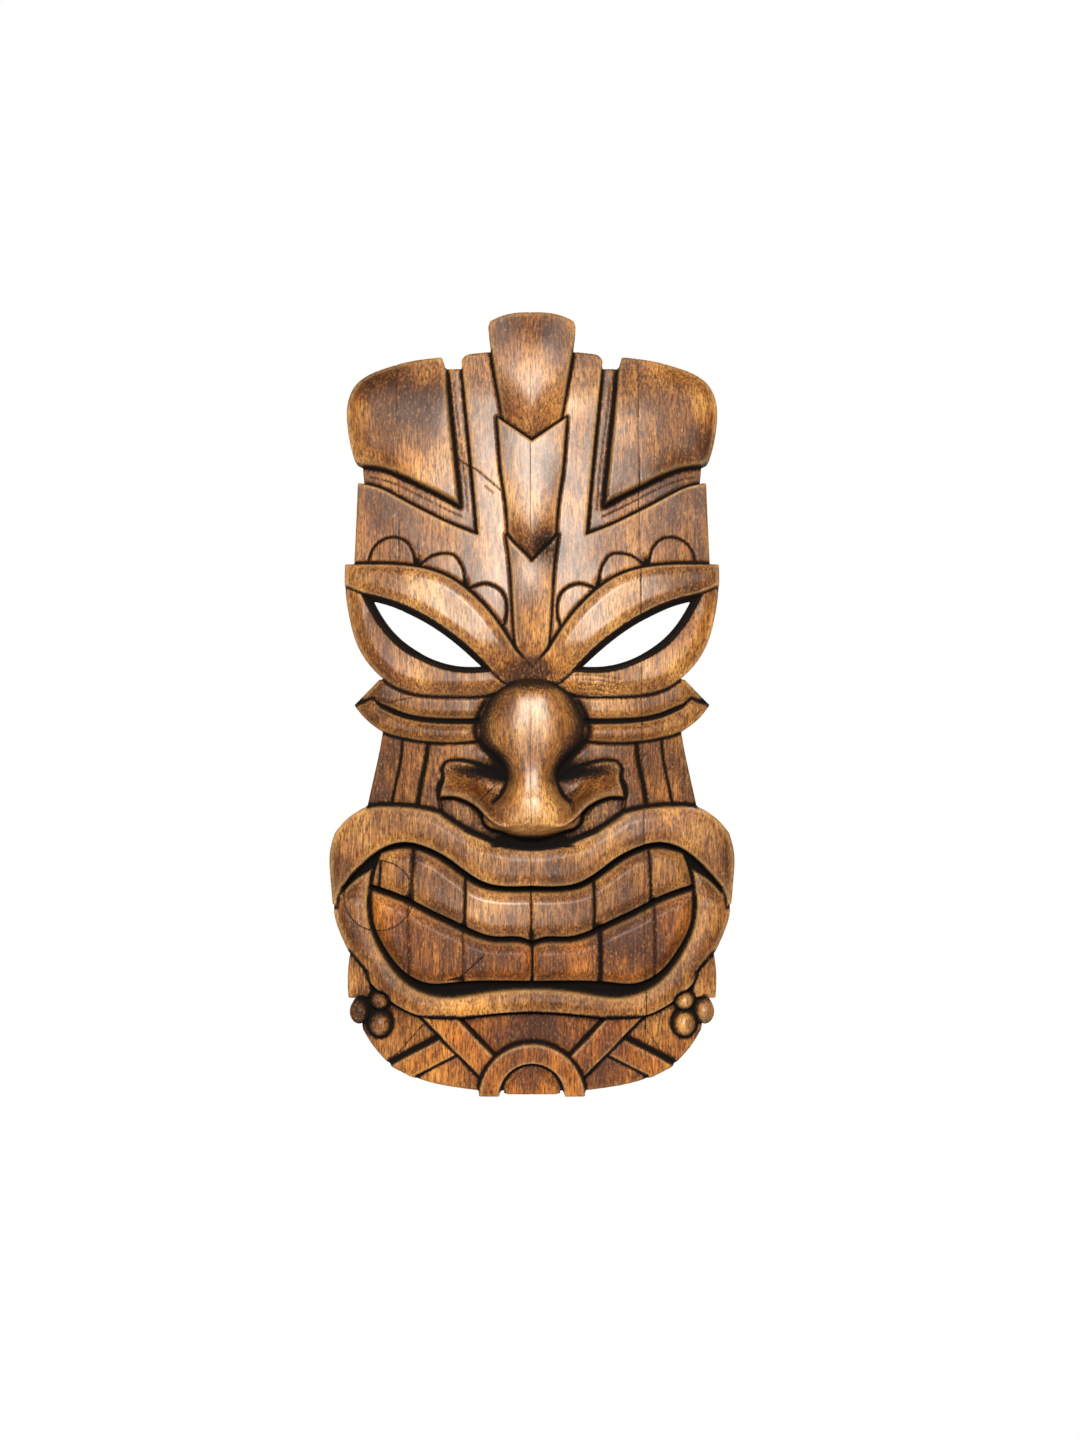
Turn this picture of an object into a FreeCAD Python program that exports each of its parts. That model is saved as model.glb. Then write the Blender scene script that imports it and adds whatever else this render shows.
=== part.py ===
import FreeCAD, Part
import Sketcher
import os
from math import pi

# Carved tiki wall mask: four glued staves, a knot plug and a swinging hanger ring, in millimetres.
#
# The wood is set out with x across the face (x = 0 on the line of symmetry), y = 0 on the flat back with
# the face towards -y, and z up from the foot of the chin. Every finished piece is then lowered by
# half the mask's height, so that the origin lies on the back face half-way up.

Vector = FreeCAD.Vector
FACE_ON = FreeCAD.Rotation(Vector(1, 0, 0), 90)      # turns a sketch upright, its normal towards -y
doc = FreeCAD.newDocument("tiki_mask")

# ---------------------------------------------------------------- driving dimensions

SIZES = {
    "mask_height": 400.0,
    "blank_depth": 60.0,
    "crown_radius": 630.0,
    # heights of the carving above the flat back
    "ground": 20.0,
    "cheek_level": 22.0,
    "chin_strap": 25.0,
    "cross_strap": 23.0,
    "side_block": 25.0,
    "wing_tip_level": 21.5,
    "wing_level": 26.0,
    "forehead_level": 27.0,
    "arch_level": 28.0,
    "teeth_level": 30.0,
    "lower_lid": 31.0,
    "block_level": 31.0,
    "upper_lid": 34.0,
    "crest_low": 31.0,
    "crest_middle": 34.0,
    "crest_top": 37.0,
    "nostril_level": 35.0,
    "lip_level": 35.0,
    "nose_level": 49.0,
    "eye_bevel_floor": 26.0,
    "groove_floor": 19.0,
    "tooth_gap_floor": 26.0,
    # arch under the chin
    "arch_outer": 27.5,
    "arch_inner": 16.4,
    # glue lines: where each crosses the top and the foot of the mask
    "left_seam_top": -69.9,
    "left_seam_foot": -64.6,
    "centre_seam_top": -1.0,
    "centre_seam_foot": -0.4,
    "right_seam_top": 53.7,
    "right_seam_foot": 58.7,
    # round plug let into a knot hole
    "plug_radius": 17.8,
    "plug_across": -78.2,
    "plug_up": 102.8,
    # hanger in its routed pocket
    "pocket_depth": 7.0,
    "pocket_width": 46.0,
    "pocket_length": 62.0,
    "pocket_corner": 6.0,
    "hanger_up": 318.0,
    "wire_radius": 1.25,
    "wire_clearance": 0.05,
    "strap_thick": 1.0,
    "plate_width": 28.0,
    "plate_drop": 14.0,
    "plate_corner": 4.0,
    "ring_half_width": 18.0,
    "ring_side": 5.0,
    "ring_corner": 3.0,
    "screw_spread": 16.0,
    "screw_drop": 8.0,
    "screw_radius": 1.6,
    "screw_head_radius": 3.2,
    "screw_length": 16.0,
    "screw_point": 3.0,
    "recess_span": 3.0,
    "recess_width": 0.7,
    "recess_depth": 1.0,
}

sheet = doc.addObject("Spreadsheet::Sheet", "Sizes")
for row, (alias, number) in enumerate(SIZES.items(), start=1):
    sheet.set("A%d" % row, alias)
    sheet.set("B%d" % row, str(number))
    sheet.setAlias("B%d" % row, alias)
doc.recompute()


def size(alias):
    """The number that the sheet holds under this alias."""
    return float(sheet.get(alias))


# ---------------------------------------------------------------- ways of making a shape

def trace(stretches):
    """Edges of a closed outline. A stretch of one point is a straight line to it, a longer one a smooth
    curve through its points; each starts where the last one ended, and the last one closes the outline."""
    edges = []
    start = Vector(*stretches[-1][-1], 0)
    for stretch in stretches:
        points = [start] + [Vector(x, z, 0) for x, z in stretch]
        if len(points) == 2:
            edges.append(Part.LineSegment(*points))
        else:
            curve = Part.BSplineCurve()
            curve.interpolate(points)
            edges.append(curve)
        start = points[-1]
    return edges


def sketch(name, edges, y=0.0):
    """An upright sketch, y in front of the back face."""
    made = doc.addObject("Sketcher::SketchObject", name + "_outline")
    made.Placement = FreeCAD.Placement(Vector(0, y, 0), FACE_ON)
    made.addGeometry(edges)
    return made


def prism(name, depth, edges):
    """A solid of this outline, from the back face forward; depth is an expression."""
    made = doc.addObject("Part::Extrusion", name)
    made.Base = sketch(name, edges)
    made.DirMode = "Normal"
    made.Solid = True
    made.setExpression("LengthFwd", depth)
    return made


def raised(name, level, stretches):
    """A solid of this outline, from the back face up to a level of the carving."""
    return prism(name, "Sizes." + level, trace(stretches))


def cut_down_to(name, level, stretches):
    """A cutter of this outline, from the front down to a level of the carving, or right through."""
    made = prism(name, "Sizes.blank_depth", trace(stretches))
    if level:
        made.setExpression("Placement.Base.y", "-Sizes." + level)
    else:
        made.Placement.Base.y = 1.0
    return made


def strip(name, level, line, width):
    """A cutter for a straight-sided groove of this width along a line of points."""
    half = width / 2
    left = [(x - half, z) for x, z in line]
    right = [(x + half, z) for x, z in reversed(line)]
    return cut_down_to(name, level, [[right[0]]] + [right[1:]] + [[left[0]]] + [left[1:]])


def gather(name, members):
    """One object made of all of these."""
    made = doc.addObject("Part::MultiFuse", name)
    made.Shapes = members
    return made


def join_in_turn(name, members):
    """Joins these objects one after another, each to what stands already."""
    whole = members[0]
    for member in members[1:]:
        joined = doc.addObject("Part::Fuse", name + "_with_" + member.Label)
        joined.Base = whole
        joined.Tool = member
        whole = joined
    return whole


def cut(name, base, tool):
    """Base less tool."""
    made = doc.addObject("Part::Cut", name)
    made.Base = base
    made.Tool = tool
    return made


def common(name, base, tool):
    """What base and tool share."""
    made = doc.addObject("Part::Common", name)
    made.Base = base
    made.Tool = tool
    return made


def cylinder(name, radius, height):
    """A cylinder standing on the origin; radius and height are expressions."""
    made = doc.addObject("Part::Cylinder", name)
    made.setExpression("Radius", radius)
    made.setExpression("Height", height)
    return made


# ---------------------------------------------------------------- left half of the carving

def board():
    """The ground that every raised part stands on, out to its visible edge."""
    return raised("board", "ground", [
        [(-45, 373.3)],
        [(-60, 369), (-80, 360), (-88, 345), (-87.6, 323)],
        [(-86.8, 314)],
        [(-88, 262)],
        [(-86, 245), (-82, 228), (-76, 214)],
        [(-75.9, 189)],
        [(-78.3, 177), (-81, 165), (-84.6, 149)],
        [(-96, 135), (-99, 112), (-97, 95), (-91.5, 76)],
        [(-91, 56)],
        [(-87.5, 33)],
        [(-82.5, 25), (-75, 16.5)],
        [(-61.5, 9), (-45, 4.4), (-27.5, 2)],
        [(0, 1.6)],
        [(0, 373.3)],
    ])


def forehead_band():
    """Band beside the crest and the plate below it, one level."""
    return raised("forehead_band", "forehead_level", [
        [(-22, 381)],
        [(-30, 380.3), (-34.5, 379), (-36.4, 376.3)],
        [(-34, 352), (-31.3, 325), (-29.3, 303), (-28, 287.8)],
        [(-40, 292.5), (-50, 297.3), (-60, 302.4), (-70, 307.9), (-80, 312.6), (-89.6, 314.6)],
        [(-90.4, 295), (-91.6, 271)],
        [(-60, 262)],
        [(-35, 245)],
        [(-12, 216)],
        [(0, 216)],
        [(0, 381)],
    ])


def forehead_block():
    """Large rounded block at the top corner."""
    return raised("forehead_block", "block_level", [
        [(-45.8, 378.6)],
        [(-60, 377), (-72, 374.4), (-82, 371), (-90.4, 365), (-94.6, 356), (-94.9, 343), (-92.8, 331),
         (-91, 325)],
        [(-87, 323)],
        [(-76, 321.2), (-64, 316.1), (-50, 309.3), (-36.8, 302)],
        [(-39.2, 325), (-41.8, 350), (-43.6, 370.5)],
    ])


def crest_cap():
    """Top scale of the crest, ending in a point."""
    return raised("crest_cap", "crest_top", [
        [(-9, 399.4), (-16, 397.6), (-21.4, 395.2)],
        [(-22.5, 392)],
        [(-20.9, 380), (-18.2, 364), (-15.2, 347.5)],
        [(0, 334.8)],
        [(0, 400)],
    ])


def crest_scale():
    """Middle scale, with a horn each side of the point above it; its top lies under the cap."""
    return raised("crest_scale", "crest_middle", [
        [(-17.8, 347)],
        [(-16.7, 332), (-15.3, 317), (-13.2, 303), (-12.2, 288)],
        [(0, 273.6)],
        [(0, 352)],
        [(-10, 352)],
    ])


def crest_root():
    """Lowest scale, running down into the root of the nose."""
    return raised("crest_root", "crest_low", [
        [(-13.2, 287)],
        [(-11.2, 272), (-9.9, 250), (-8.2, 228), (-6, 212)],
        [(0, 212)],
        [(0, 291)],
        [(-8, 291)],
    ])


def eye_block():
    """Surround of the eye, out to the lower lid's level."""
    return raised("eye_block", "lower_lid", [
        [(-75, 272.4), (-61, 271.3), (-50, 268.8), (-40, 264.3), (-30, 256.7), (-19, 244.7), (-8.3, 228.5)],
        [(-15, 211)],
        [(-18.5, 206.6), (-24, 205), (-38, 204.6), (-54, 205.1), (-65, 207.2), (-74, 211.7), (-82, 218.8),
         (-89.4, 230), (-93.9, 245), (-95.8, 258), (-95.8, 272.4)],
    ])


def upper_lid():
    """Upper lid and brow, standing over the lower lid."""
    return raised("upper_lid", "upper_lid", [
        [(-75, 272.4), (-61, 271.3), (-50, 268.8), (-40, 264.3), (-30, 256.7), (-19, 244.7), (-8.3, 228.5)],
        [(-14, 213)],
        [(-24, 220.9), (-34, 230.7), (-45, 239.1), (-55, 245.6), (-65, 250.4), (-75, 254.1), (-85, 257),
         (-95.6, 261.3)],
        [(-95.8, 272.4)],
    ])


def eye_hole():
    """Almond-shaped eye, right through the wood."""
    return cut_down_to("eye_hole", None, [
        [(-74, 251.9), (-65, 248.1), (-55, 242.9), (-45, 236.3), (-35.5, 228.6), (-26, 219.9)],
        [(-35, 219.9), (-44, 221.4), (-52, 224.2), (-60, 228.6), (-67, 233.6), (-74.6, 241.5), (-82.5, 254.2)],
    ])


def eye_bevel():
    """Step round the eye hole."""
    return cut_down_to("eye_bevel", "eye_bevel_floor", [
        [(-75, 253.9), (-65, 250.2), (-55, 245.3), (-45, 238.8), (-34, 230.4), (-21.5, 218)],
        [(-32, 217.6), (-43, 218.9), (-52, 221.7), (-61, 226.1), (-71, 233.6), (-79, 243.6), (-86.3, 256.6)],
    ])


def cheek_wings():
    """Two bands below the eye that meet in a point at the side, and the lower point itself."""
    tip = raised("wing_tip", "wing_tip_level", [
        [(-78.2, 214)],
        [(-85.6, 206.5), (-92, 200.3)],
        [(-85.5, 192.6), (-76, 185.6)],
        [(-70, 200)],
    ])
    upper = raised("upper_wing", "wing_level", [
        [(-85, 206.5), (-91.4, 200.8)],
        [(-78, 200.6), (-68, 196.6), (-58, 194.1), (-44, 193), (-24, 193)],
        [(-18, 208)],
        [(-70, 216)],
        [(-77.6, 213.6)],
    ])
    lower = raised("lower_wing", "wing_level", [
        [(-85.5, 193), (-76, 186.2), (-66, 183.2), (-54, 181.3), (-40, 180.9), (-26, 182)],
        [(-25, 191.2)],
        [(-44, 191.2), (-58, 192.3), (-68, 194.8), (-77, 198.8)],
        [(-82, 203.5)],
        [(-91.4, 199.8)],
    ])
    return [tip, upper, lower]


def cheek():
    """Flat cheek between the wings and the upper lip."""
    return raised("cheek", "cheek_level", [
        [(-78.7, 177), (-81.3, 165), (-85.1, 148)],
        [(-50, 144)],
        [(-40, 152)],
        [(0, 152)],
        [(0, 188)],
        [(-76.5, 190.5)],
    ])


def cheek_grooves():
    """The narrow and the wide groove down the cheek."""
    narrow = strip("narrow_groove", "groove_floor", [(-66.3, 183), (-68.6, 167), (-72.4, 149)], 1.4)
    wide = strip("wide_groove", "groove_floor", [(-53.6, 182), (-55.6, 165), (-58.7, 148)], 2.2)
    return [narrow, wide]


def nostril():
    """Wing of the nose, up to its rim."""
    return raised("nostril", "nostril_level", [
        [(-47, 157), (-45.4, 163), (-46, 167.5)],
        [(-44, 170.6), (-39, 171.8), (-32, 171), (-24, 167.8), (-13, 161.5)],
        [(0, 161.5)],
        [(0, 138)],
        [(-19, 138.5)],
        [(-22.5, 141.7), (-27.5, 146.8), (-34, 151), (-41, 152.9), (-47.5, 152.5)],
    ])


def upper_lip():
    """Upper lip, from the corner of the mouth to the middle."""
    return raised("upper_lip", "lip_level", [
        [(-103.2, 111), (-103.4, 126), (-101, 135)],
        [(-94, 142.9), (-85, 147.8), (-72, 149), (-58, 147.9), (-47, 145.5)],
        [(-38, 139.1), (-28, 134), (-16, 129.3), (0, 127.3)],
        [(0, 107.3)],
        [(-12, 107.1), (-23, 108.7), (-33, 114), (-44, 122), (-54, 127), (-64, 129.4), (-74, 127.4),
         (-86, 118.8), (-94, 110), (-98.8, 102), (-99.8, 97)],
        [(-102.2, 98.6)],
    ])


def lower_lip():
    """Lower lip, widening to the corner of the mouth."""
    return raised("lower_lip", "lip_level", [
        [(-101.4, 95), (-98.7, 85), (-92, 70.8), (-83, 57.6), (-72, 47.9), (-58, 41.1), (-44, 39.3), (-30, 40.5),
         (-15, 42.4), (0, 42.9)],
        [(0, 56.4)],
        [(-15, 55.6), (-28, 53.7), (-41, 51.8), (-53, 53.2), (-66, 60.6), (-75.5, 72.8), (-82, 87), (-83.3, 102),
         (-81.5, 117)],
        [(-90, 112), (-101.2, 100.5)],
    ])


def teeth():
    """Upper and lower row, parted by the bite line."""
    upper = raised("upper_teeth", "teeth_level", [
        [(-12, 104.9), (-24, 106.5), (-34, 111.8), (-45, 119.9), (-55, 125), (-64, 127), (-76, 122.5)],
        [(-80.4, 106.3)],
        [(-66, 101.6), (-52, 94.6), (-40, 89), (-30, 84.2), (-18, 81), (0, 80.6)],
        [(0, 104.9)],
    ])
    lower = raised("lower_teeth", "teeth_level", [
        [(-18, 79.4), (-30, 82.5), (-40, 87.2), (-52, 92.9), (-66, 99.9), (-80.4, 104.6)],
        [(-79.5, 88), (-73, 74.5), (-64, 63.4), (-52, 57.6), (-40, 58.3), (-20, 59), (0, 58.8)],
        [(0, 79.2)],
    ])
    return [upper, lower]


def tooth_gaps():
    """Gaps between teeth, as upright slots."""
    slots = [(0, 58, 106), (-34.4, 87, 113), (-62, 100, 128), (-35.4, 58, 85), (-63.4, 62, 98)]
    return [strip("tooth_gap_%d" % number, "tooth_gap_floor", [(x, low), (x, high)], 1.2)
            for number, (x, low, high) in enumerate(slots, start=1)]


def jaw_block():
    """Block at the side behind the lower lip."""
    return raised("jaw_block", "side_block", [
        [(-95, 62), (-94.6, 49.5)],
        [(-82, 49.5)],
        [(-84, 64)],
        [(-93.4, 75)],
    ])


def beads():
    """Three carved beads below the jaw block: across, up, half width, half height."""
    places = [(-88.6, 43.1, 5.2, 6.8), (-78.4, 36.9, 6.3, 7.3), (-78.3, 48.7, 5.4, 5.2)]
    made = []
    for number, (x, z, half_width, half_height) in enumerate(places, start=1):
        bead = doc.addObject("Part::Ellipsoid", "bead_%d" % number)
        bead.Radius1 = half_height
        bead.Radius2 = half_width
        bead.Radius3 = 8.0
        bead.Placement.Base = Vector(x, 0, z)
        bead.setExpression("Placement.Base.y", "-Sizes.ground - 1")
        made.append(bead)
    return made


def chin_straps():
    """Strap that runs down under the arch, and the one that crosses behind it."""
    main = raised("main_strap", "chin_strap", [[(-58, 41)], [(-26, 8.5)], [(-16, 17)], [(-38.7, 41)]])
    crossing = raised("crossing_strap", "cross_strap", [
        [(-61.4, 8.7)], [(-36, 22)], [(-46, 30)], [(-73, 15.4)], [(-75.2, 15.6)],
    ])
    return [main, crossing]


def arch():
    """Left half of the arch under the chin, open at the foot."""
    outer = size("arch_outer")
    inner = size("arch_inner")
    quarter = [
        Part.ArcOfCircle(Part.Circle(Vector(0, 0, 0), Vector(0, 0, 1), outer), pi / 2, pi),
        Part.LineSegment(Vector(-outer, 0, 0), Vector(-inner, 0, 0)),
        Part.ArcOfCircle(Part.Circle(Vector(0, 0, 0), Vector(0, 0, 1), inner), pi / 2, pi),
        Part.LineSegment(Vector(0, inner, 0), Vector(0, outer, 0)),
    ]
    return prism("arch", "Sizes.arch_level", quarter)


# ---------------------------------------------------------------- nose, on both sides of the middle

def nose():
    """Nose lofted through level sections: height up the mask, half width, rise as a share of the tip's."""
    sections = [
        (216, 8, 0.56), (209, 10, 0.78), (199, 19, 0.93), (187, 27, 0.99), (176, 19, 0.97), (166, 13.5, 0.95),
        (156, 14, 0.97), (146, 18, 1.0), (138.5, 18.5, 0.93),
    ]
    root = size("ground") / 2
    outlines = []
    for number, (z, half_width, share) in enumerate(sections, start=1):
        rise = size("nose_level") * share - root
        curve = Part.BSplineCurve()
        curve.interpolate([Vector(across * half_width, -root - up * rise, 0) for across, up in
                           [(-1, 0), (-0.86, 0.55), (-0.5, 0.89), (0, 1), (0.5, 0.89), (0.86, 0.55), (1, 0)]])
        level = doc.addObject("Sketcher::SketchObject", "nose_section_%d" % number)
        level.Placement.Base = Vector(0, 0, z)
        level.addGeometry([curve, Part.LineSegment(Vector(half_width, -root, 0), Vector(-half_width, -root, 0))])
        outlines.append(level)
    made = doc.addObject("Part::Loft", "nose")
    made.Sections = outlines
    made.Solid = True
    return made


# ---------------------------------------------------------------- carving the glued panel

def crown():
    """Large barrel that rounds the whole face off towards its sides, touching the top of the crest."""
    barrel = cylinder("crown", "Sizes.crown_radius", "Sizes.mask_height + 20")
    barrel.setExpression("Placement.Base.y", "Sizes.crown_radius - Sizes.crest_top")
    barrel.Placement.Base.z = -10
    return barrel


def carved_panel(pocket):
    """The whole carving in one solid, before the staves are told apart."""
    half = join_in_turn("half", [
        board(), forehead_band(), forehead_block(), crest_cap(), crest_scale(), crest_root(), eye_block(),
        upper_lid(), cheek(), nostril(), upper_lip(), lower_lip(), jaw_block(), arch(),
    ] + cheek_wings() + teeth() + beads() + chin_straps())
    left = common("half_crowned", half, crown())
    for tool in [eye_hole(), eye_bevel()] + cheek_grooves() + tooth_gaps():
        left = cut("half_less_" + tool.Label, left, tool)
    right = doc.addObject("Part::Mirroring", "right_half")
    right.Source = left
    right.Normal = Vector(1, 0, 0)
    whole = join_in_turn("relief", [left, right, nose()])
    return cut("panel", whole, pocket)


def hanger_pocket():
    """Routed pocket with rounded corners in the back, which lets the mask lie flat on a wall."""
    made = doc.addObject("Part::Box", "pocket_block")
    made.setExpression("Length", "Sizes.pocket_width")
    made.setExpression("Width", "Sizes.pocket_depth")
    made.setExpression("Height", "Sizes.pocket_length")
    made.setExpression("Placement.Base.x", "-Sizes.pocket_width / 2")
    made.setExpression("Placement.Base.y", "-Sizes.pocket_depth")
    made.setExpression("Placement.Base.z", "Sizes.hanger_up - Sizes.pocket_length / 2")
    doc.recompute()
    upright = [number for number, edge in enumerate(made.Shape.Edges, start=1)
               if abs(edge.tangentAt(edge.FirstParameter).y) > 0.9]
    rounded = doc.addObject("Part::Fillet", "pocket")
    rounded.Base = made
    rounded.Edges = [(number, size("pocket_corner"), size("pocket_corner")) for number in upright]
    return rounded


def stave_blank(name, left, right):
    """The slanted board that one stave is cut from; left and right are its seams, or None at an edge."""
    edge = 120.0
    top = size("mask_height")
    corners = [
        (size(left + "_top") if left else -edge, top + 1),
        (size(left + "_foot") if left else -edge, -1),
        (size(right + "_foot") if right else edge, -1),
        (size(right + "_top") if right else edge, top + 1),
    ]
    return prism(name + "_blank", "Sizes.blank_depth", trace([[corner] for corner in corners]))


def plug_bore():
    """Round hole that the knot plug fills, right through the wood."""
    bore = cylinder("plug_bore", "Sizes.plug_radius", "Sizes.blank_depth")
    bore.Placement = FreeCAD.Placement(Vector(), FACE_ON)
    bore.setExpression("Placement.Base.x", "Sizes.plug_across")
    bore.Placement.Base.y = 1.0
    bore.setExpression("Placement.Base.z", "Sizes.plug_up")
    return bore


def screw_sides():
    """The two screws stand left and right of the middle."""
    return (("left", "-1"), ("right", "1"))


def place_screw_tool(tool, side, depth):
    """Puts a tool on a screw's line, this far (an expression) in front of the back face, pointing forward."""
    tool.Placement = FreeCAD.Placement(Vector(), FACE_ON)
    tool.setExpression("Placement.Base.x", side + " * Sizes.screw_spread / 2")
    tool.setExpression("Placement.Base.y", "-(" + depth + ")")
    tool.setExpression("Placement.Base.z", "Sizes.hanger_up - Sizes.screw_drop")


PLATE_TOP = "Sizes.pocket_depth - 2 * Sizes.strap_thick"      # depth of the plate's outer face


def pilot_holes():
    """Holes for the screws in the two inner staves."""
    holes = []
    for word, side in screw_sides():
        hole = cylinder("pilot_" + word, "Sizes.screw_radius", "Sizes.screw_length")
        place_screw_tool(hole, side, PLATE_TOP)
        holes.append(hole)
    return gather("pilot_holes", holes)


def staves(panel):
    """The four staves of the panel, cut round the knot plug and the screws."""
    bore = plug_bore()
    seams = [None, "left_seam", "centre_seam", "right_seam", None]
    names = ["stave_outer_left", "stave_inner_left", "stave_inner_right", "stave_outer_right"]
    tools = gather("stave_tools", [bore, pilot_holes()])
    pieces = [cut(name, common(name + "_carved", panel, stave_blank(name, left, right)), tools)
              for name, left, right in zip(names, seams, seams[1:])]
    return pieces + [common("knot_plug", panel, bore)]


# ---------------------------------------------------------------- hanger

def hanger_plate():
    """Strap folded round the ring's bar, with two countersunk screw holes."""
    knuckle_radius = "(Sizes.wire_radius + Sizes.wire_clearance + Sizes.strap_thick)"
    knuckle_depth = "-(Sizes.pocket_depth - " + knuckle_radius + ")"

    tail = doc.addObject("Part::Box", "plate_tail")
    tail.setExpression("Length", "Sizes.plate_width")
    tail.setExpression("Width", "2 * Sizes.strap_thick")
    tail.setExpression("Height", "Sizes.plate_drop")
    tail.setExpression("Placement.Base.x", "-Sizes.plate_width / 2")
    tail.setExpression("Placement.Base.y", "-Sizes.pocket_depth")
    tail.setExpression("Placement.Base.z", "Sizes.hanger_up - Sizes.plate_drop")
    doc.recompute()
    foot = size("hanger_up") - size("plate_drop")
    corners = [number for number, edge in enumerate(tail.Shape.Edges, start=1)
               if abs(edge.tangentAt(edge.FirstParameter).y) > 0.9 and edge.BoundBox.ZMax < foot + 1]
    rounded = doc.addObject("Part::Fillet", "plate_tail_rounded")
    rounded.Base = tail
    rounded.Edges = [(number, size("plate_corner"), size("plate_corner")) for number in corners]

    barrel = cylinder("knuckle_barrel", knuckle_radius, "Sizes.plate_width")
    hole = cylinder("knuckle_hole", "Sizes.wire_radius + Sizes.wire_clearance", "Sizes.plate_width + 2")
    for tool, start in ((barrel, "-Sizes.plate_width / 2"), (hole, "-Sizes.plate_width / 2 - 1")):
        tool.Placement = FreeCAD.Placement(Vector(), FreeCAD.Rotation(Vector(0, 1, 0), 90))
        tool.setExpression("Placement.Base.x", start)
        tool.setExpression("Placement.Base.y", knuckle_depth)
        tool.setExpression("Placement.Base.z", "Sizes.hanger_up")

    holes = [hole]
    for word, side in screw_sides():
        through = cylinder("plate_hole_" + word, "Sizes.screw_radius + 0.2", "4 * Sizes.strap_thick")
        place_screw_tool(through, side, PLATE_TOP + " - 1")
        holes += [through, screw_head("countersink_" + word, side)]
    strap = gather("plate_strap", [rounded, barrel])
    return cut("hanger_plate", strap, gather("plate_holes", holes))


def screw_head(name, side):
    """Countersunk head, its flat face level with the plate."""
    head = doc.addObject("Part::Cone", name)
    head.setExpression("Radius1", "Sizes.screw_head_radius")
    head.setExpression("Radius2", "Sizes.screw_radius")
    head.setExpression("Height", "Sizes.screw_head_radius - Sizes.screw_radius")
    place_screw_tool(head, side, PLATE_TOP)
    return head


def recess_slot(name, side, across, up):
    """One of the two slots of a screw's cross recess; across and up are its size, as expressions."""
    slot = doc.addObject("Part::Box", name)
    slot.setExpression("Length", across)
    slot.setExpression("Width", "2 * Sizes.recess_depth")
    slot.setExpression("Height", up)
    slot.setExpression("Placement.Base.x", side + " * Sizes.screw_spread / 2 - " + across + " / 2")
    slot.setExpression("Placement.Base.y", "-(" + PLATE_TOP + ") - Sizes.recess_depth")
    slot.setExpression("Placement.Base.z", "Sizes.hanger_up - Sizes.screw_drop - " + up + " / 2")
    return slot


def hanger_screws():
    """Both wood screws: a countersunk head with a cross recess, a shank and a point."""
    solids = []
    for word, side in screw_sides():
        shank = cylinder("shank_" + word, "Sizes.screw_radius", "Sizes.screw_length - Sizes.screw_point")
        place_screw_tool(shank, side, PLATE_TOP)
        point = doc.addObject("Part::Cone", "point_" + word)
        point.setExpression("Radius1", "Sizes.screw_radius")
        point.setExpression("Radius2", "Sizes.screw_radius / 8")
        point.setExpression("Height", "Sizes.screw_point")
        place_screw_tool(point, side, PLATE_TOP + " + Sizes.screw_length - Sizes.screw_point")
        screw = gather("screw_" + word, [screw_head("head_" + word, side), shank, point])
        slots = [recess_slot("recess_%s_level" % word, side, "Sizes.recess_span", "Sizes.recess_width"),
                 recess_slot("recess_%s_upright" % word, side, "Sizes.recess_width", "Sizes.recess_span")]
        solids.append(cut("screw_driven_" + word, screw, gather("recess_" + word, slots)))
    return gather("hanger_screws", solids)


def hanger_ring():
    """D-shaped wire ring, hanging down from its bar."""
    half = size("ring_half_width")
    corner = size("ring_corner")
    side = size("ring_side")
    knuckle_depth = size("pocket_depth") - size("wire_radius") - size("wire_clearance") - size("strap_thick")
    body = doc.addObject("PartDesign::Body", "hanger_ring")
    planes = {plane.Role: plane for plane in body.Origin.OriginFeatures}

    path = body.newObject("Sketcher::SketchObject", "ring_path")
    path.AttachmentSupport = [(planes["XZ_Plane"], "")]
    path.MapMode = "FlatFace"
    foot = -corner - side
    z_axis = Vector(0, 0, 1)
    path.addGeometry([
        Part.LineSegment(Vector(corner - half, 0, 0), Vector(half - corner, 0, 0)),
        Part.ArcOfCircle(Part.Circle(Vector(half - corner, -corner, 0), z_axis, corner), 0, pi / 2),
        Part.LineSegment(Vector(half, -corner, 0), Vector(half, foot, 0)),
        Part.ArcOfCircle(Part.Circle(Vector(0, foot, 0), z_axis, half), pi, 2 * pi),
        Part.LineSegment(Vector(-half, foot, 0), Vector(-half, -corner, 0)),
        Part.ArcOfCircle(Part.Circle(Vector(corner - half, -corner, 0), z_axis, corner), pi / 2, pi),
    ])
    wire = body.newObject("Sketcher::SketchObject", "ring_wire")
    wire.AttachmentSupport = [(planes["YZ_Plane"], "")]
    wire.MapMode = "FlatFace"
    wire.addGeometry(Part.Circle(Vector(0, 0, 0), z_axis, size("wire_radius")))
    wire.addConstraint(Sketcher.Constraint("Radius", 0, size("wire_radius")))
    wire.setExpression("Constraints[0]", "Sizes.wire_radius")
    pipe = body.newObject("PartDesign::AdditivePipe", "ring_pipe")
    pipe.Profile = wire
    pipe.Spine = (path, ["Edge%d" % number for number in range(1, 7)])
    body.Tip = pipe
    body.Placement.Base = Vector(0, -knuckle_depth, 0)
    return body


# ---------------------------------------------------------------- finishing and writing

pocket = hanger_pocket()
fittings = [hanger_plate(), hanger_screws()]
ring = hanger_ring()
wood = staves(carved_panel(pocket))
for piece in wood + fittings:
    piece.setExpression("Placement.Base.z", "-Sizes.mask_height / 2")
ring.setExpression("Placement.Base.z", "Sizes.hanger_up - Sizes.mask_height / 2")
pieces = wood + fittings + [ring]
doc.recompute()

for item in doc.Objects:
    if "Invalid" in item.State or "Error" in item.State:
        raise RuntimeError("%s failed: %s" % (item.Label, item.State))
for piece in pieces:
    if piece.Shape.isNull() or not piece.Shape.isValid():
        raise RuntimeError(piece.Label + " has no valid shape")

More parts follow.
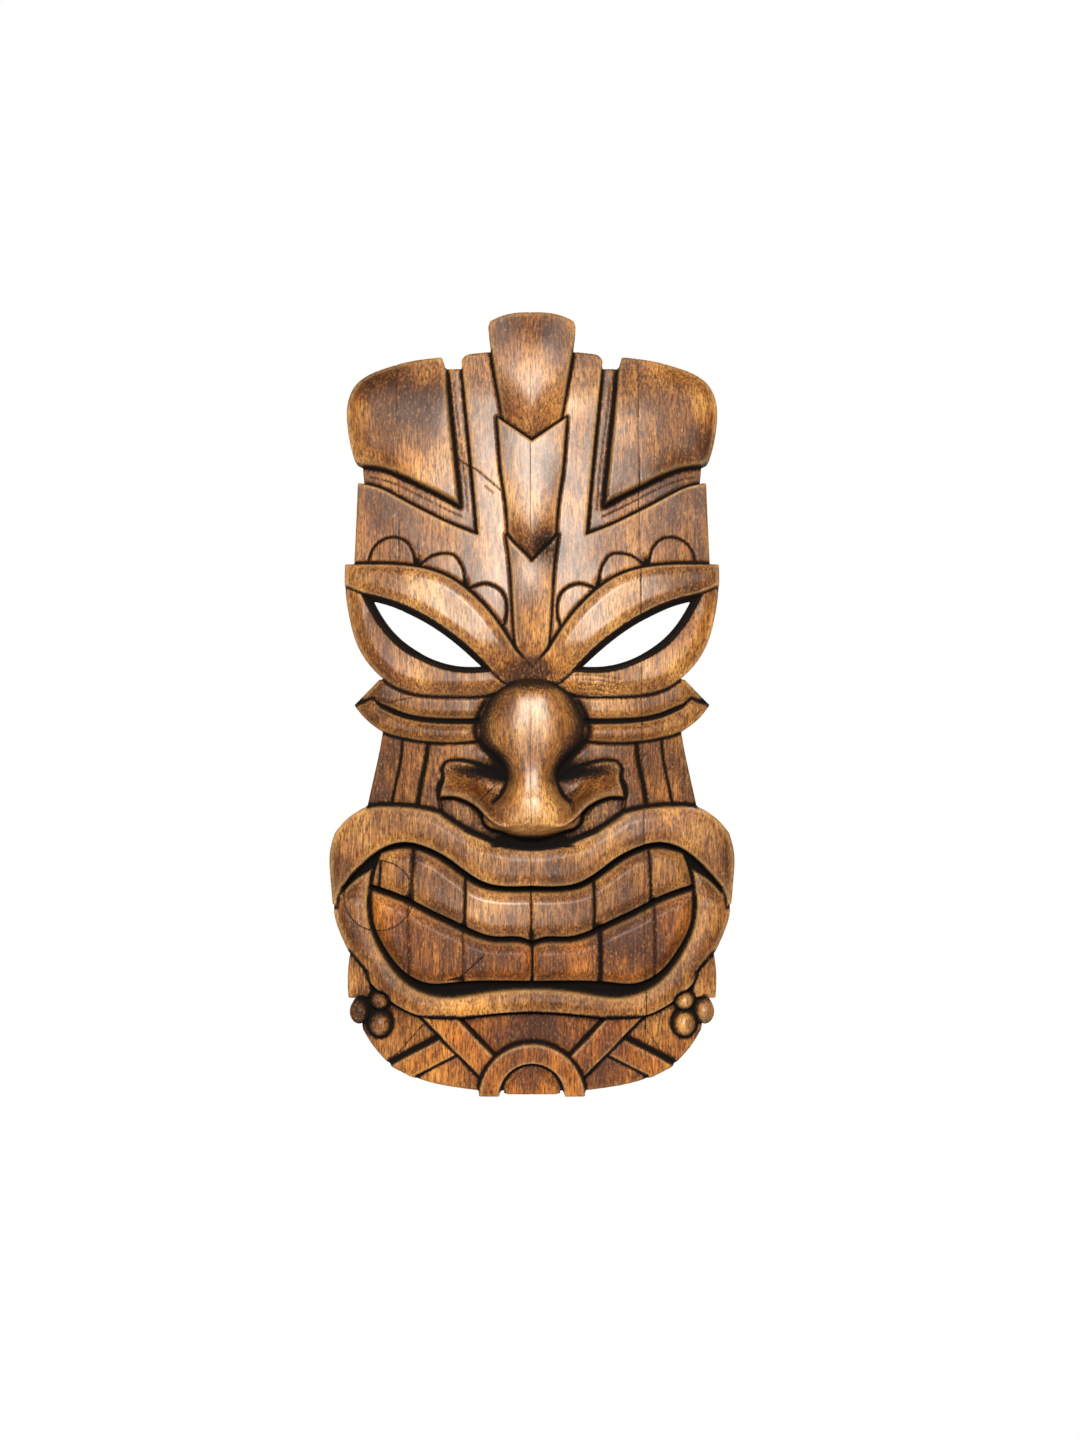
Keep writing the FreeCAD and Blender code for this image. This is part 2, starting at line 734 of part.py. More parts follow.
os.makedirs("parts", exist_ok=True)
for piece in pieces:
    piece.Shape.exportStep("parts/" + piece.Label + ".step")
    box = piece.Shape.BoundBox
    print("%-18s solids %d  volume %9.0f  x %.1f..%.1f  y %.1f..%.1f  z %.1f..%.1f" % (
        piece.Label, len(piece.Shape.Solids), piece.Shape.Volume, box.XMin, box.XMax, box.YMin, box.YMax,
        box.ZMin, box.ZMax))
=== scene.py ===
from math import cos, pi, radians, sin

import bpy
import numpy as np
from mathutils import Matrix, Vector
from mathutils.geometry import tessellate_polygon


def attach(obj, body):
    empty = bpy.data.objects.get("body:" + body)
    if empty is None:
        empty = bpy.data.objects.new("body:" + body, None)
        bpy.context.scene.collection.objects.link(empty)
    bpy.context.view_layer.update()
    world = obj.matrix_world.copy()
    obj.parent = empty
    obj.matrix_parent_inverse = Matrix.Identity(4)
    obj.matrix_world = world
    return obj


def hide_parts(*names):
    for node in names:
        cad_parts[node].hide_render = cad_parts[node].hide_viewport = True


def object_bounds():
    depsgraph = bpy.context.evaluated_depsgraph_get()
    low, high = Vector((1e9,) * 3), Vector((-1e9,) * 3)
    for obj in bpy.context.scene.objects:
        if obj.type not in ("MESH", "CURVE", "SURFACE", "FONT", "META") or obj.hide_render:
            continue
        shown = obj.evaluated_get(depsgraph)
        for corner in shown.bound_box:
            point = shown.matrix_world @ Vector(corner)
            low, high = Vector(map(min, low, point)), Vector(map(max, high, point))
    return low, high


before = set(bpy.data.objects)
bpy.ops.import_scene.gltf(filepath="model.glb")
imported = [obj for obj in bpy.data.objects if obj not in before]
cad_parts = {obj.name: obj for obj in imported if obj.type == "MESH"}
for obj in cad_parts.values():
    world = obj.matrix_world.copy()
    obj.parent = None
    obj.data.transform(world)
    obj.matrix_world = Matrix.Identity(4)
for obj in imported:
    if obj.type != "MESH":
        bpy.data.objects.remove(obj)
cad_low, cad_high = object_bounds()

# Looks of the carved tiki wall mask.
#
# The carving is worked out in millimetres on a grid over the face (x across from the middle, z up from the
# foot of the chin, height above the flat back), then cut along the glue lines into the staves and the plug.

# ---- driving dimensions

HEIGHT = 400.0  # of the mask, in millimetres of the carving
MM = (cad_high.z - cad_low.z) / HEIGHT  # one of those millimetres in the frame
FOOT = cad_low.z
GRID = 0.56
MARGIN = 9.0  # how far round an outline its distance is worked out
UNCARVED = 12.0  # height off the back where nothing is raised
NOSE_HEIGHT = 46.8
HIGHEST = 48.6
CROWN_RADIUS = 630.0
SEAMS = {"left": (-69.9, -64.6), "centre": (-1.0, -0.4), "right": (53.7, 58.7)}  # at the top and the foot
PLUG = (-78.2, 102.8, 17.8)  # across, up, radius
POCKET = (-23.0, 287.0, 23.0, 349.0)  # left, foot, right, top
POCKET_DEPTH = 7.0
POCKET_CORNER = 6.0
EDGE_INSET = 0.30  # how far the front edge stands back from the widest line
EDGE_WALL = 1.5  # breadth of the strip that the wall takes up
EDGE_ROLL = 0.8  # how far the front edge is rounded down
SIDE_ROWS = (POCKET_DEPTH, 1.2, 0.35, 0.0)  # heights of the rows of points down a side
SIDE_TUCK = (0.0, 0.0, 0.25, 0.8)  # how far each row is rounded in

# What the shader needs: grime and painted shade in the hollows, rubbed edges, lighter or darker (with some
# painted highlight and painted shade), towards orange, wax.
LAYERS = ("grime", "wear", "tone", "warm", "polish")

EYE_STEP = [
    [(-75, 253.9), (-65, 250.2), (-55, 245.3), (-45, 238.8), (-34, 230.4), (-21.5, 218)],
    [(-32, 217.6), (-43, 218.9), (-52, 221.7), (-61, 226.1), (-71, 233.6), (-79.0, 243.6), (-86.3, 256.6)],
]
EYE_HOLE = [
    [(-74, 251.9), (-65, 248.1), (-55, 242.9), (-45, 236.3), (-35.5, 228.6), (-26, 219.9)],
    [(-35, 219.9), (-44, 221.4), (-52, 224.2), (-60, 228.6), (-67, 233.6), (-74.6, 241.5), (-82.5, 254.2)],
]


# ---- outlines and distances

def smooth_through(points):
    """Closely spaced points of the natural cubic curve through these points."""
    p = np.array(points, float)
    t = np.concatenate([[0.0], np.cumsum(np.hypot(*np.diff(p, axis=0).T))])
    gap = np.diff(t)
    count = len(p)
    system = np.eye(count)
    right = np.zeros((count, 2))
    for i in range(1, count - 1):
        system[i, i - 1:i + 2] = gap[i - 1], 2 * (gap[i - 1] + gap[i]), gap[i]
        right[i] = 6 * ((p[i + 1] - p[i]) / gap[i] - (p[i] - p[i - 1]) / gap[i - 1])
    bend = np.linalg.solve(system, right)
    s = np.linspace(0, t[-1], int(t[-1] / 1.2) + 3)
    k = np.clip(np.searchsorted(t, s, side="right") - 1, 0, count - 2)
    h = gap[k][:, None]
    u = (s - t[k])[:, None]
    v = (t[k + 1] - s)[:, None]
    return ((bend[k] * v ** 3 + bend[k + 1] * u ** 3) / (6 * h)
            + (p[k] / h - bend[k] * h / 6) * v + (p[k + 1] / h - bend[k + 1] * h / 6) * u)


def trace(stretches):
    """Points of a closed outline. A stretch is a point, with a straight line to it, or a list of points,
    with a smooth curve through them. Each starts where the last ended; the last closes the outline."""
    stretches = [stretch if isinstance(stretch, list) else [stretch] for stretch in stretches]
    traced = []
    start = stretches[-1][-1]
    for stretch in stretches:
        traced.append(stretch if len(stretch) == 1 else smooth_through([start] + stretch)[1:])
        start = stretch[-1]
    return np.concatenate(traced)


def square_distance(x, z, a, b):
    """Square of the distance to the straight line between two points."""
    (ax, az), (bx, bz) = a, b
    dx, dz = bx - ax, bz - az
    along = np.clip(((x - ax) * dx + (z - az) * dz) / (dx * dx + dz * dz + 1e-12), 0, 1)
    return (x - ax - along * dx) ** 2 + (z - az - along * dz) ** 2


def line_distance(x, z, points):
    """Distance to an open line."""
    nearest = np.full(x.shape, 1e9)
    for a, b in zip(points[:-1], points[1:]):
        nearest = np.minimum(nearest, square_distance(x, z, a, b))
    return np.sqrt(nearest)


def outline_distance(x, z, points):
    """Distance to a closed outline, negative inside. An edge on the middle line is open: the shape
    carries on across it."""
    nearest = np.full(x.shape, 1e9)
    inside = np.zeros(x.shape, bool)
    tested = np.minimum(x, -1e-3)
    for a, b in zip(points, np.roll(points, -1, axis=0)):
        (ax, az), (bx, bz) = a, b
        if az != bz:
            crossing = (az > z) != (bz > z)
            inside ^= crossing & (tested < (bx - ax) * (z - az) / (bz - az) + ax)
        if abs(ax) > 1e-9 or abs(bx) > 1e-9:
            nearest = np.minimum(nearest, square_distance(x, z, a, b))
    return np.where(inside, -1, 1) * np.sqrt(nearest)


def ease(t):
    """Rises smoothly from 0 to 1 as t does."""
    t = np.clip(t, 0, 1)
    return t * t * (3 - 2 * t)


def bump(t):
    """A bell, 1 at 0."""
    return np.exp(-t * t)


def ripples(x, z, length, seed, stretch=1.0):
    """Smooth random swell of about this wavelength, between -1 and 1; stretch draws it out upwards."""
    draw = np.random.default_rng(seed)
    total = np.zeros(x.shape)
    for _ in range(14):
        turn, shift = draw.uniform(0, 2 * pi, 2)
        wave = 2 * pi / (length * draw.uniform(0.6, 1.6))
        total += np.cos(wave * (cos(turn) * x + sin(turn) * z / stretch) + shift)
    return total / 7.0


# ---- the relief

class Relief:
    """Height of the carving over a grid, with the layers that the shader needs."""

    def __init__(self, across, up):
        self.x, self.z = np.meshgrid(across, up, indexing="ij")
        self.across, self.up = across, up
        self.edge = np.full(self.x.shape, MARGIN)
        self.height = np.full(self.x.shape, UNCARVED)
        for layer in LAYERS:
            setattr(self, layer, np.zeros(self.x.shape))
        self.uneven = 1 + 0.4 * ripples(self.x, self.z, 22, 5)      # of the carved lines' width

    def around(self, points):
        """The part of the grid within the margin of these points."""
        low = points.min(axis=0) - MARGIN
        high = points.max(axis=0) + MARGIN
        return (slice(*np.searchsorted(self.across, (low[0], high[0]))),
                slice(*np.searchsorted(self.up, (low[1], high[1]))))

    def carve(self, stretches, level, wall=1.3, roll=0.9, roll_width=2.2, trench=0.6, line=1.0,
              line_width=0.5, worn=0.7, tone=0.0, warm=0.0, solid=True):
        """Brings the inside of an outline to a level, which is a number or a function of x, z and the
        distance in from the outline, with a steep wall, a rolled edge and a dirty line round its foot."""
        points = trace(stretches)
        w = self.around(points)
        x, z = self.x[w], self.z[w]
        d = outline_distance(x, z, points)
        deep = np.maximum(-d, 0)
        rise = ease((0.4 - d) / wall)
        top = level(x, z, deep) if callable(level) else level
        top = top - roll * np.clip(1 - deep / roll_width, 0, 1) ** 2
        self.height[w] -= trench * bump((d - 0.6) / 0.75)
        for layer, value in ((self.height, top), (self.tone, tone), (self.warm, warm)):
            layer[w] += (value - layer[w]) * rise
        darkening = line * bump((d - 0.45) / line_width / self.uneven[w])
        rubbed = worn * bump((deep - 1.1) / 0.45) * (d < 0)
        for layer, value in ((self.grime, darkening), (self.wear, rubbed)):
            layer[w] = np.maximum(layer[w] * (1 - rise), value)
        if solid:
            self.edge[w] = np.minimum(self.edge[w], d)

    def incise(self, points, width, depth, dark=1.0, curved=True):
        """Cuts a fine line."""
        points = smooth_through(points) if curved and len(points) > 2 else np.array(points, float)
        w = self.around(points)
        d = line_distance(self.x[w], self.z[w], points)
        self.height[w] -= depth * bump(d / (0.5 * width))
        self.grime[w] = np.maximum(self.grime[w], dark * bump(d / (0.62 * width)))

    def spot(self, x, z, half_width, half_height, turn=0.0, **changes):
        """Adds a soft-edged oval patch to the height or to any layers."""
        across, up = self.x - x, self.z - z
        c, s = cos(radians(turn)), sin(radians(turn))
        share = bump(np.hypot((across * c + up * s) / half_width, (up * c - across * s) / half_height))
        for layer, change in changes.items():
            getattr(self, layer)[:] += change * share
        np.clip(self.grime, 0, 1, out=self.grime)

    def both_sides(self):
        """The relief with its mirror image on the other side of the middle."""
        whole = Relief(np.concatenate([self.across, -self.across[-2::-1]]), self.up)
        for name in ("edge", "height") + LAYERS:
            half = getattr(self, name)
            setattr(whole, name, np.concatenate([half, half[-2::-1]], axis=0))
        return whole


def table(at, values):
    """A smooth function through these values."""
    curve = smooth_through(list(zip(at, values)))
    return lambda t: np.interp(t, curve[:, 0], curve[:, 1])


# ---- left half of the carving

def carve_board(half):
    """The ground that every raised part stands on."""
    half.carve([
        (-45, 373.3), [(-60, 369), (-80, 360), (-88, 345), (-87.6, 323)], (-86.8, 314), (-88, 262),
        [(-86, 245), (-82, 228), (-76, 214)], (-75.9, 189), [(-78.3, 177), (-81, 165), (-84.6, 149)],
        [(-96, 135), (-99, 112), (-97, 95), (-91.5, 76)], (-91, 56), (-87.5, 33),
        [(-82.5, 25), (-75, 16.5)], [(-61.5, 9), (-45, 4.4), (-27.5, 2)], (0, 1.6), (0, 373.3),
    ], 20, line=0, tone=-0.1, warm=0.15)


def carve_forehead(half):
    """Band beside the crest with the plate below it, the channel lines, and the large corner block."""
    half.carve([
        (-22, 381), [(-30, 380.3), (-34.5, 379), (-36.4, 376.3)],
        [(-34, 352), (-31.3, 325), (-29.3, 303), (-28, 287.8)],
        [(-40, 292.5), (-50, 297.3), (-60, 302.4), (-70, 307.9), (-80, 312.6), (-89.6, 314.6)],
        [(-90.4, 295), (-91.6, 271)], (-60, 262), (-35, 245), (-12, 216), (0, 216), (0, 381),
    ], lambda x, z, deep: 27 + 1.6 * np.clip(1 + x / 80, 0, 1) - 2.5 * ease((z - 355) / 28),
        roll=0.7, roll_width=1.8)
    half.incise([(-84, 317.8), (-76, 315.9), (-60, 308.9), (-46, 301.7), (-36.5, 297.1)], 0.7, 0.3, 0.5)
    half.incise([(-40.6, 366), (-37.6, 340), (-34.9, 318), (-33.4, 300)], 0.6, 0.3, 0.45)
    half.spot(-62, 311, 26, 3, tone=0.3, turn=-25)

    def block_top(x, z, deep):
        crest = 31 + 1.2 * bump(np.hypot((x + 50) / 30, (z - 322) / 32))
        crest -= 6 * ease((z - 348) / 34) ** 1.4
        return crest - 4 * np.clip(1 - deep / 12, 0, 1) ** 2.2 * ease((-60 - x) / 18)

    half.carve([
        (-45.8, 378.6),
        [(-60, 377), (-72, 374.4), (-82, 371), (-90.4, 365), (-94.6, 356), (-94.9, 343), (-92.8, 331),
         (-91, 325)],
        (-87, 323), [(-76, 321.2), (-64, 316.1), (-50, 309.3), (-36.8, 302)],
        [(-39.2, 325), (-41.8, 350), (-43.6, 370.5)],
    ], block_top, wall=1.8, roll=1, roll_width=2.4, trench=1.1, line_width=0.85, worn=0.4)


def carve_petals(half):
    """Three arcs cut behind the brow, each with a dark wedge where they meet."""
    half.incise([(-83.5, 274.5), (-81, 281), (-77, 284.5), (-70, 286.2), (-66, 285), (-62, 281),
                 (-60.5, 277), (-59.5, 272)], 1.15, 0.9)
    half.incise([(-57.5, 271.5), (-52, 276), (-45, 277.8), (-40, 277), (-37, 273.5), (-35, 269),
                 (-34.5, 262)], 1.15, 0.9)
    half.incise([(-31.5, 260), (-28, 261.5), (-24, 262.2), (-20, 261.3), (-15.8, 258.5), (-13.3, 254),
                 (-12.8, 250), (-13.2, 245), (-14.5, 241)], 1.3, 1.1)
    half.spot(-58.2, 273.5, 1.6, 3, grime=0.9, height=-1)
    half.spot(-33.6, 262, 1.5, 2.6, grime=0.9, height=-1)


def carve_crest(half):
    """Three overlapping scales. Each dips at its pointed end under the raised notch of the next."""
    cap = table((-3, 0, 8, 18, 30, 45, 58, 72), (29, 29.5, 32.5, 35.3, 36.2, 36.3, 35, 32))
    middle = table((-3, 0, 8, 18, 30, 45, 75), (28.6, 29.2, 32.6, 34.4, 35.1, 35.4, 35.4))
    root = table((200, 215, 230, 250, 272, 290), (25, 28, 30.2, 31.6, 32.6, 33))
    half.carve([
        [(-9, 399.4), (-16, 397.6), (-21.4, 395.2)], (-22.5, 392),
        [(-20.9, 380), (-18.2, 364), (-15.2, 347.5)], (-13.5, 340), (0, 329), (0, 400),
    ], lambda x, z, deep: cap(z - 334.8 + 0.83 * x) - 1 * (x / 20) ** 2, wall=1.6, trench=1, worn=0.6)
    half.carve([
        (-17.8, 347), [(-16.7, 332), (-15.3, 317), (-13.2, 303), (-12.2, 288)], (0, 269), (0, 334.8),
    ], lambda x, z, deep: middle(z - 273.6 + 1.1 * x) - 0.8 * (x / 16) ** 2, trench=0.9, worn=1,
        roll=0.6, roll_width=1.6)
    half.carve([
        (-13.2, 287), [(-11.2, 272), (-9.9, 250), (-8.2, 228), (-7, 217), (-6.5, 204)], (0, 204),
        (0, 273.6),
    ], lambda x, z, deep: root(z) - 1 * (x / 12) ** 2, trench=0.9, worn=0.9, roll=0.6, roll_width=1.6)


def carve_eye(half):
    """Lower lid, upper lid with the brow, and the dark step round the eye."""
    brow = [(-75, 272.4), (-61, 271.3), (-50, 268.8), (-40, 264.3), (-30, 256.7), (-19, 244.7),
            (-8.3, 228.5)]
    half.carve([
        brow, (-3, 219), (-3, 206), (-16, 206),
        [(-20, 205.6), (-24, 205), (-38, 204.6), (-54, 205.1), (-65, 207.2), (-74, 211.7), (-82, 218.8),
         (-89.4, 230), (-93.9, 245), (-95.8, 258), (-95.8, 272.4)],
    ], lambda x, z, deep: 28.2 + 3.2 * ease(deep / 8), wall=1.8, roll=1.2, trench=0.9, line_width=0.8,
        worn=0.4)

    def lid_top(x, z, deep):
        return 32.4 + 1.9 * ease(deep / 6) - 3 * ease((234 - z) / 24)

    half.carve([
        brow, (0, 219), (0, 206), (-15, 212.5),
        [(-24, 220.9), (-34, 230.7), (-45, 239.1), (-55, 245.6), (-65, 250.4), (-75, 254.1), (-85, 257),
         (-95.6, 261.3)],
        (-95.8, 272.4),
    ], lid_top, trench=0.5, line_width=0.65)
    half.carve(EYE_STEP, 25, wall=1.2, roll=0, trench=0, line_width=0.7, worn=0, tone=-1.6,
               solid=False)
    ring = trace(EYE_STEP)
    w = half.around(ring)
    inside = ease(-outline_distance(half.x[w], half.z[w], ring) / 1.2)
    half.grime[w] = np.maximum(half.grime[w], inside)
    half.spot(-83, 250, 7, 8, height=-1.2, tone=-0.35)


def eye_hole(half):
    """Distance to the edge of the almond-shaped eye, negative in the hole."""
    points = trace(EYE_HOLE)
    hole = np.full(half.x.shape, MARGIN)
    w = half.around(points)
    hole[w] = outline_distance(half.x[w], half.z[w], points)
    return hole


def carve_cheeks(half):
    """Cheek with its two grooves, and the two bands below the eye that meet in a point at the side."""
    half.carve([
        [(-78.7, 177), (-81.3, 165), (-85.1, 148)], (-50, 144), (-40, 152), (0, 152), (0, 190),
        (-76.5, 190.5),
    ], 22, worn=0.3, tone=-0.7)
    half.incise([(-66.5, 184), (-67.5, 172), (-70, 160), (-72.3, 148)], 1.3, 1.4)
    half.incise([(-53.3, 184), (-54.5, 172), (-57, 160), (-58.8, 148)], 2.1, 2.4)

    def wing(x, z, deep):
        return 24.4 + 2 * ease(deep / 4.5) - 1.5 * ease((-76 - x) / 12)

    half.carve([(-78.2, 214), [(-85.6, 206.5), (-92, 200.3)], [(-85.5, 192.6), (-76, 185.6)], (-70, 200)],
               21.5, worn=0.2, tone=-0.8, line=0.6)

    half.carve([
        [(-85, 206.5), (-91.4, 200.8)], [(-78, 200.6), (-68, 196.6), (-58, 194.1), (-44, 193), (-24, 193)],
        (-12, 206), (-70, 216), (-77.6, 213.6),
    ], wing, trench=0.8, line_width=0.7, worn=0.4, tone=-0.25)
    half.carve([
        [(-85.5, 193), (-76, 186.2), (-66, 183.2), (-54, 181.3), (-40, 180.9), (-26, 182)], (-20, 191.2),
        [(-44, 191.2), (-58, 192.3), (-68, 194.8), (-77, 198.8)], (-82, 203.5), (-91.4, 199.8),
    ], wing, trench=1, line_width=0.8, worn=0.4, tone=-0.25)
    # Painted shade: the two facets of the point at the side are darkened where they slope back.
    half.spot(-83.5, 204, 5, 4, tone=-0.7, height=-1)
    half.spot(-82, 194, 6, 3, tone=-0.6, height=-0.8)


def carve_nose(half):
    """Hollows of the nostrils, the wings over them, then the nose itself, which flows into the wings.
    Painted shadow under the tip and in the nostrils, painted shade in the creases and at the root.
    """
    # Painted shadow: the nostril hollows are darkened, most of all under the rim of the wing.
    half.carve([
        [(-48.5, 156), (-47, 147.5)], [(-38, 139.1), (-28, 134), (-16, 129.3), (0, 127)], (0, 160),
    ], 19, wall=1.6, roll=0, trench=0, line=0.9, worn=0, tone=-1.5, solid=False)
    half.spot(-33, 144.5, 14, 4.5, grime=0.75, turn=-38)
    half.carve([
        [(-47, 157), (-45.4, 163), (-46, 167.5)],
        [(-44, 170.6), (-39, 171.8), (-32, 171), (-24, 167.8), (-13, 161.5)],
        (0, 161.5), (0, 136.5), [(-10, 136.7), (-17, 138)],
        [(-22.5, 141.7), (-27.5, 146.8), (-34, 151), (-41, 152.9), (-47.5, 152.5)],
    ], nostril_wing, wall=2, trench=0.9, line_width=0.8, worn=0.9, roll=0.8)
    raise_nose(half)
    # Painted shadow under the tip of the nose; painted shade in the creases at the top of the wings and
    # under the bulb.
    half.spot(0, 129, 17, 2.5, grime=0.8)
    half.spot(-19.5, 165, 9, 4, grime=1.1, height=-2.5, turn=-16)
    half.spot(-34, 166.5, 10, 3.6, grime=0.75, height=-0.6, turn=-8)
    half.spot(-19, 172, 5.5, 6, grime=0.5, turn=35)
    # Painted shade at the root of the nose, between the brows.
    root = ease(1.7 - 1.1 * np.hypot(half.x / 11, (half.z - 217) / 7.5))
    root *= ease((half.z - 211) / 4)
    half.height += (31 - half.height) * root * 0.8
    half.grime = half.grime * (1 - 0.75 * root) + 0.32 * root
    half.wear *= 1 - root
    half.tone -= 1.3 * root


def raise_nose(half):
    """The nose itself, which blends softly into the wings and the brow and has a valley elsewhere, darkened
    with painted shade. The tables give half its breadth and its share of the full height on the way up."""
    wide = table((130, 133, 136, 139, 143, 149, 156, 166, 171, 176, 181, 187, 193, 199, 204, 209, 213, 217),
                 (6, 13, 18, 22, 23.5, 20, 15.5, 13.8, 17, 22, 26.3, 28.4, 27.6, 25, 21.8, 15.5, 9, 5))
    share = table((128, 130, 132.5, 135, 138, 142, 146, 156, 166, 176, 187, 199, 205, 209, 213, 217),
                  (0.2, 0.42, 0.66, 0.84, 0.94, 0.985, 1, 0.99, 0.965, 0.975, 0.985, 0.982, 0.965,
                   0.90, 0.72, 0.50))
    w = (slice(*np.searchsorted(half.across, (-44, 1))), slice(*np.searchsorted(half.up, (128, 222))))
    x, z, height = half.x[w], half.z[w], half.height[w]
    out = np.abs(x) / wide(z)
    near = (out - 1) * wide(z)
    bulb = ease((z - 163) / 8)
    tip = ease((160 - z) / 8) * ease((z - wing_rim(x)) / 3)
    crown = ease((z - 200) / 8)
    base = 15 + 20 * ease((156 - z) / 8) * ease((z - 134) / 5)
    squareness = 3.8 - 1.7 * ease((158 - z) / 12)
    dome = np.clip(1 - np.clip(out, 0, 1) ** squareness, 0, 1) ** 0.72
    level = base + (NOSE_HEIGHT * share(z) - base) * dome
    over = level - height
    cover = ease(over / (1.2 + 8 * tip + 3 * crown) + 0.5)
    valley = bump((near - 0.6) / 1.8) * bulb * (1 - crown)
    height -= 1.6 * valley * (1 - cover)
    # Painted shade in the valley round the bulb.
    half.grime[w] = np.maximum(half.grime[w], 0.9 * valley)
    soft = 0.6 + 7 * tip + 3 * crown
    joined = height + (over + np.sqrt(over ** 2 + soft ** 2)) / 2
    joined = np.minimum(joined, np.maximum(level, height) + 1.5)
    height += (joined - height) * ease((2.5 + 10 * tip - near) / 2.5) * ease((221 - z) / 6)
    for layer in (half.grime, half.wear, half.tone):
        layer[w] *= 1 - cover
    # Painted shade down the bulb's sides and over its top, and painted shadow under the tip.
    foot = np.maximum(ease((out - 0.55) / 0.45), ease((z - 204) / 9)) * bulb
    under = ease((135.5 - z) / 3.5) * ease((24 + x) / 9)
    half.grime[w] = np.maximum(np.maximum(half.grime[w], 0.75 * foot * cover), under)
    half.wear[w] += cover * 0.5 * bump((near + 4) / 2.5) * ease((z - 184) / 4) * (z < 198)


def wing_rim(x):
    """How far up the lower rim of a nostril's wing runs."""
    across = (-50, -41, -34, -27.5, -22.5, -19, -10, 0)
    return table(across, (152.4, 152.9, 151, 146.8, 141.7, 138.5, 137.5, 137))(x)


def nostril_wing(x, z, deep):
    """Surface of a nostril's wing: high along its lower rim, sinking towards the top."""
    rim = wing_rim(x)
    crest = 34 + 11 * ease((x + 44) / 28) - 7 * ease((x + 15) / 11)
    up = np.clip((z - rim) / 19, 0, 1)
    return crest - (crest - 25) * ease(up * 1.15) - 1.5 * bump(up / 0.12)


def carve_mouth(half):
    """Mouth with its recess darkened as painted shade, both rows of teeth and both lips."""
    half.carve([
        (0, 128), (0, 42),
        [(-44, 40), (-70, 47), (-92, 72), (-101, 100), (-99, 130), (-72, 148), (-40, 140)],
    ], 17, wall=2, roll=0, trench=0, line=0, worn=0, solid=False)
    # Painted shade: the recess of the mouth is made black.
    half.grime[(half.z > 40) & (half.z < 132) & (half.x > -88) & (half.height < 19)] = 1

    def tooth(x, z, deep):
        return 27.4 + 2.8 * ease(deep / 7)

    teeth = {"wall": 1.8, "roll": 1, "trench": 0, "line": 0.9, "line_width": 0.7, "worn": 0}

    half.carve([
        [(-12, 105.6), (-24, 107.2), (-34, 112.5), (-45, 120.6), (-55, 125.7), (-64, 127.7), (-78, 125)],
        (-84, 107.8), [(-66, 101.6), (-52, 94.6), (-40, 89), (-30, 84.2), (-18, 81), (-5, 80.5), (0, 78.2)],
        (0, 105.6),
    ], tooth, tone=-0.2, **teeth)
    half.carve([
        [(0, 77.4), (-5, 79.4), (-18, 79.8), (-30, 82.8), (-40, 87.4), (-52, 93.1), (-66, 100.1),
         (-84, 106.4)],
        [(-82.2, 88), (-75.4, 74), (-65.4, 62.4), (-52, 56.8), (-40, 57.5), (-20, 58.4), (0, 58.2)],
    ], tooth, tone=-0.5, warm=0.7, **teeth)

    def lip(x, z, deep):
        return 33.6 + 1.4 * ease(deep / 7)

    half.carve([
        [(-101.4, 95), (-98.7, 85), (-92, 70.8), (-83, 57.6), (-72, 47.9), (-58, 41.1), (-44, 39.3),
         (-30, 40.5), (-15, 42.4), (0, 42.9)],
        (0, 56.4),
        [(-15, 55.6), (-28, 53.7), (-41, 51.8), (-53, 53.2), (-66, 60.6), (-75.5, 72.8), (-82, 87),
         (-83.3, 102), (-81.5, 117)],
        [(-90, 112), (-101.2, 100.5)],
    ], lambda x, z, deep: lip(x, z, deep) - 4.5 * ease((z - 97) / 16), wall=1.8, roll=1.2, trench=0.9,
        line_width=0.85, worn=0.8)
    half.carve([
        [(-103.2, 111), (-103.4, 126), (-101, 135)],
        [(-94, 142.9), (-85, 147.8), (-72, 149), (-58, 147.9), (-47, 145.5)],
        [(-38, 139.1), (-28, 134), (-16, 129.3), (0, 127.3)], (0, 107.3),
        [(-12, 107.1), (-23, 108.7), (-33, 114), (-44, 122), (-54, 127), (-64, 129.4), (-74, 127.4),
         (-86, 118.8), (-94, 110), (-98.8, 102), (-99.8, 97)],
        (-102.2, 98.6),
    ], lip, wall=1.8, roll=1.2, trench=0.9, line_width=0.8, worn=0.75)
    half.spot(-90, 108, 8, 3.5, tone=-0.6, turn=38)


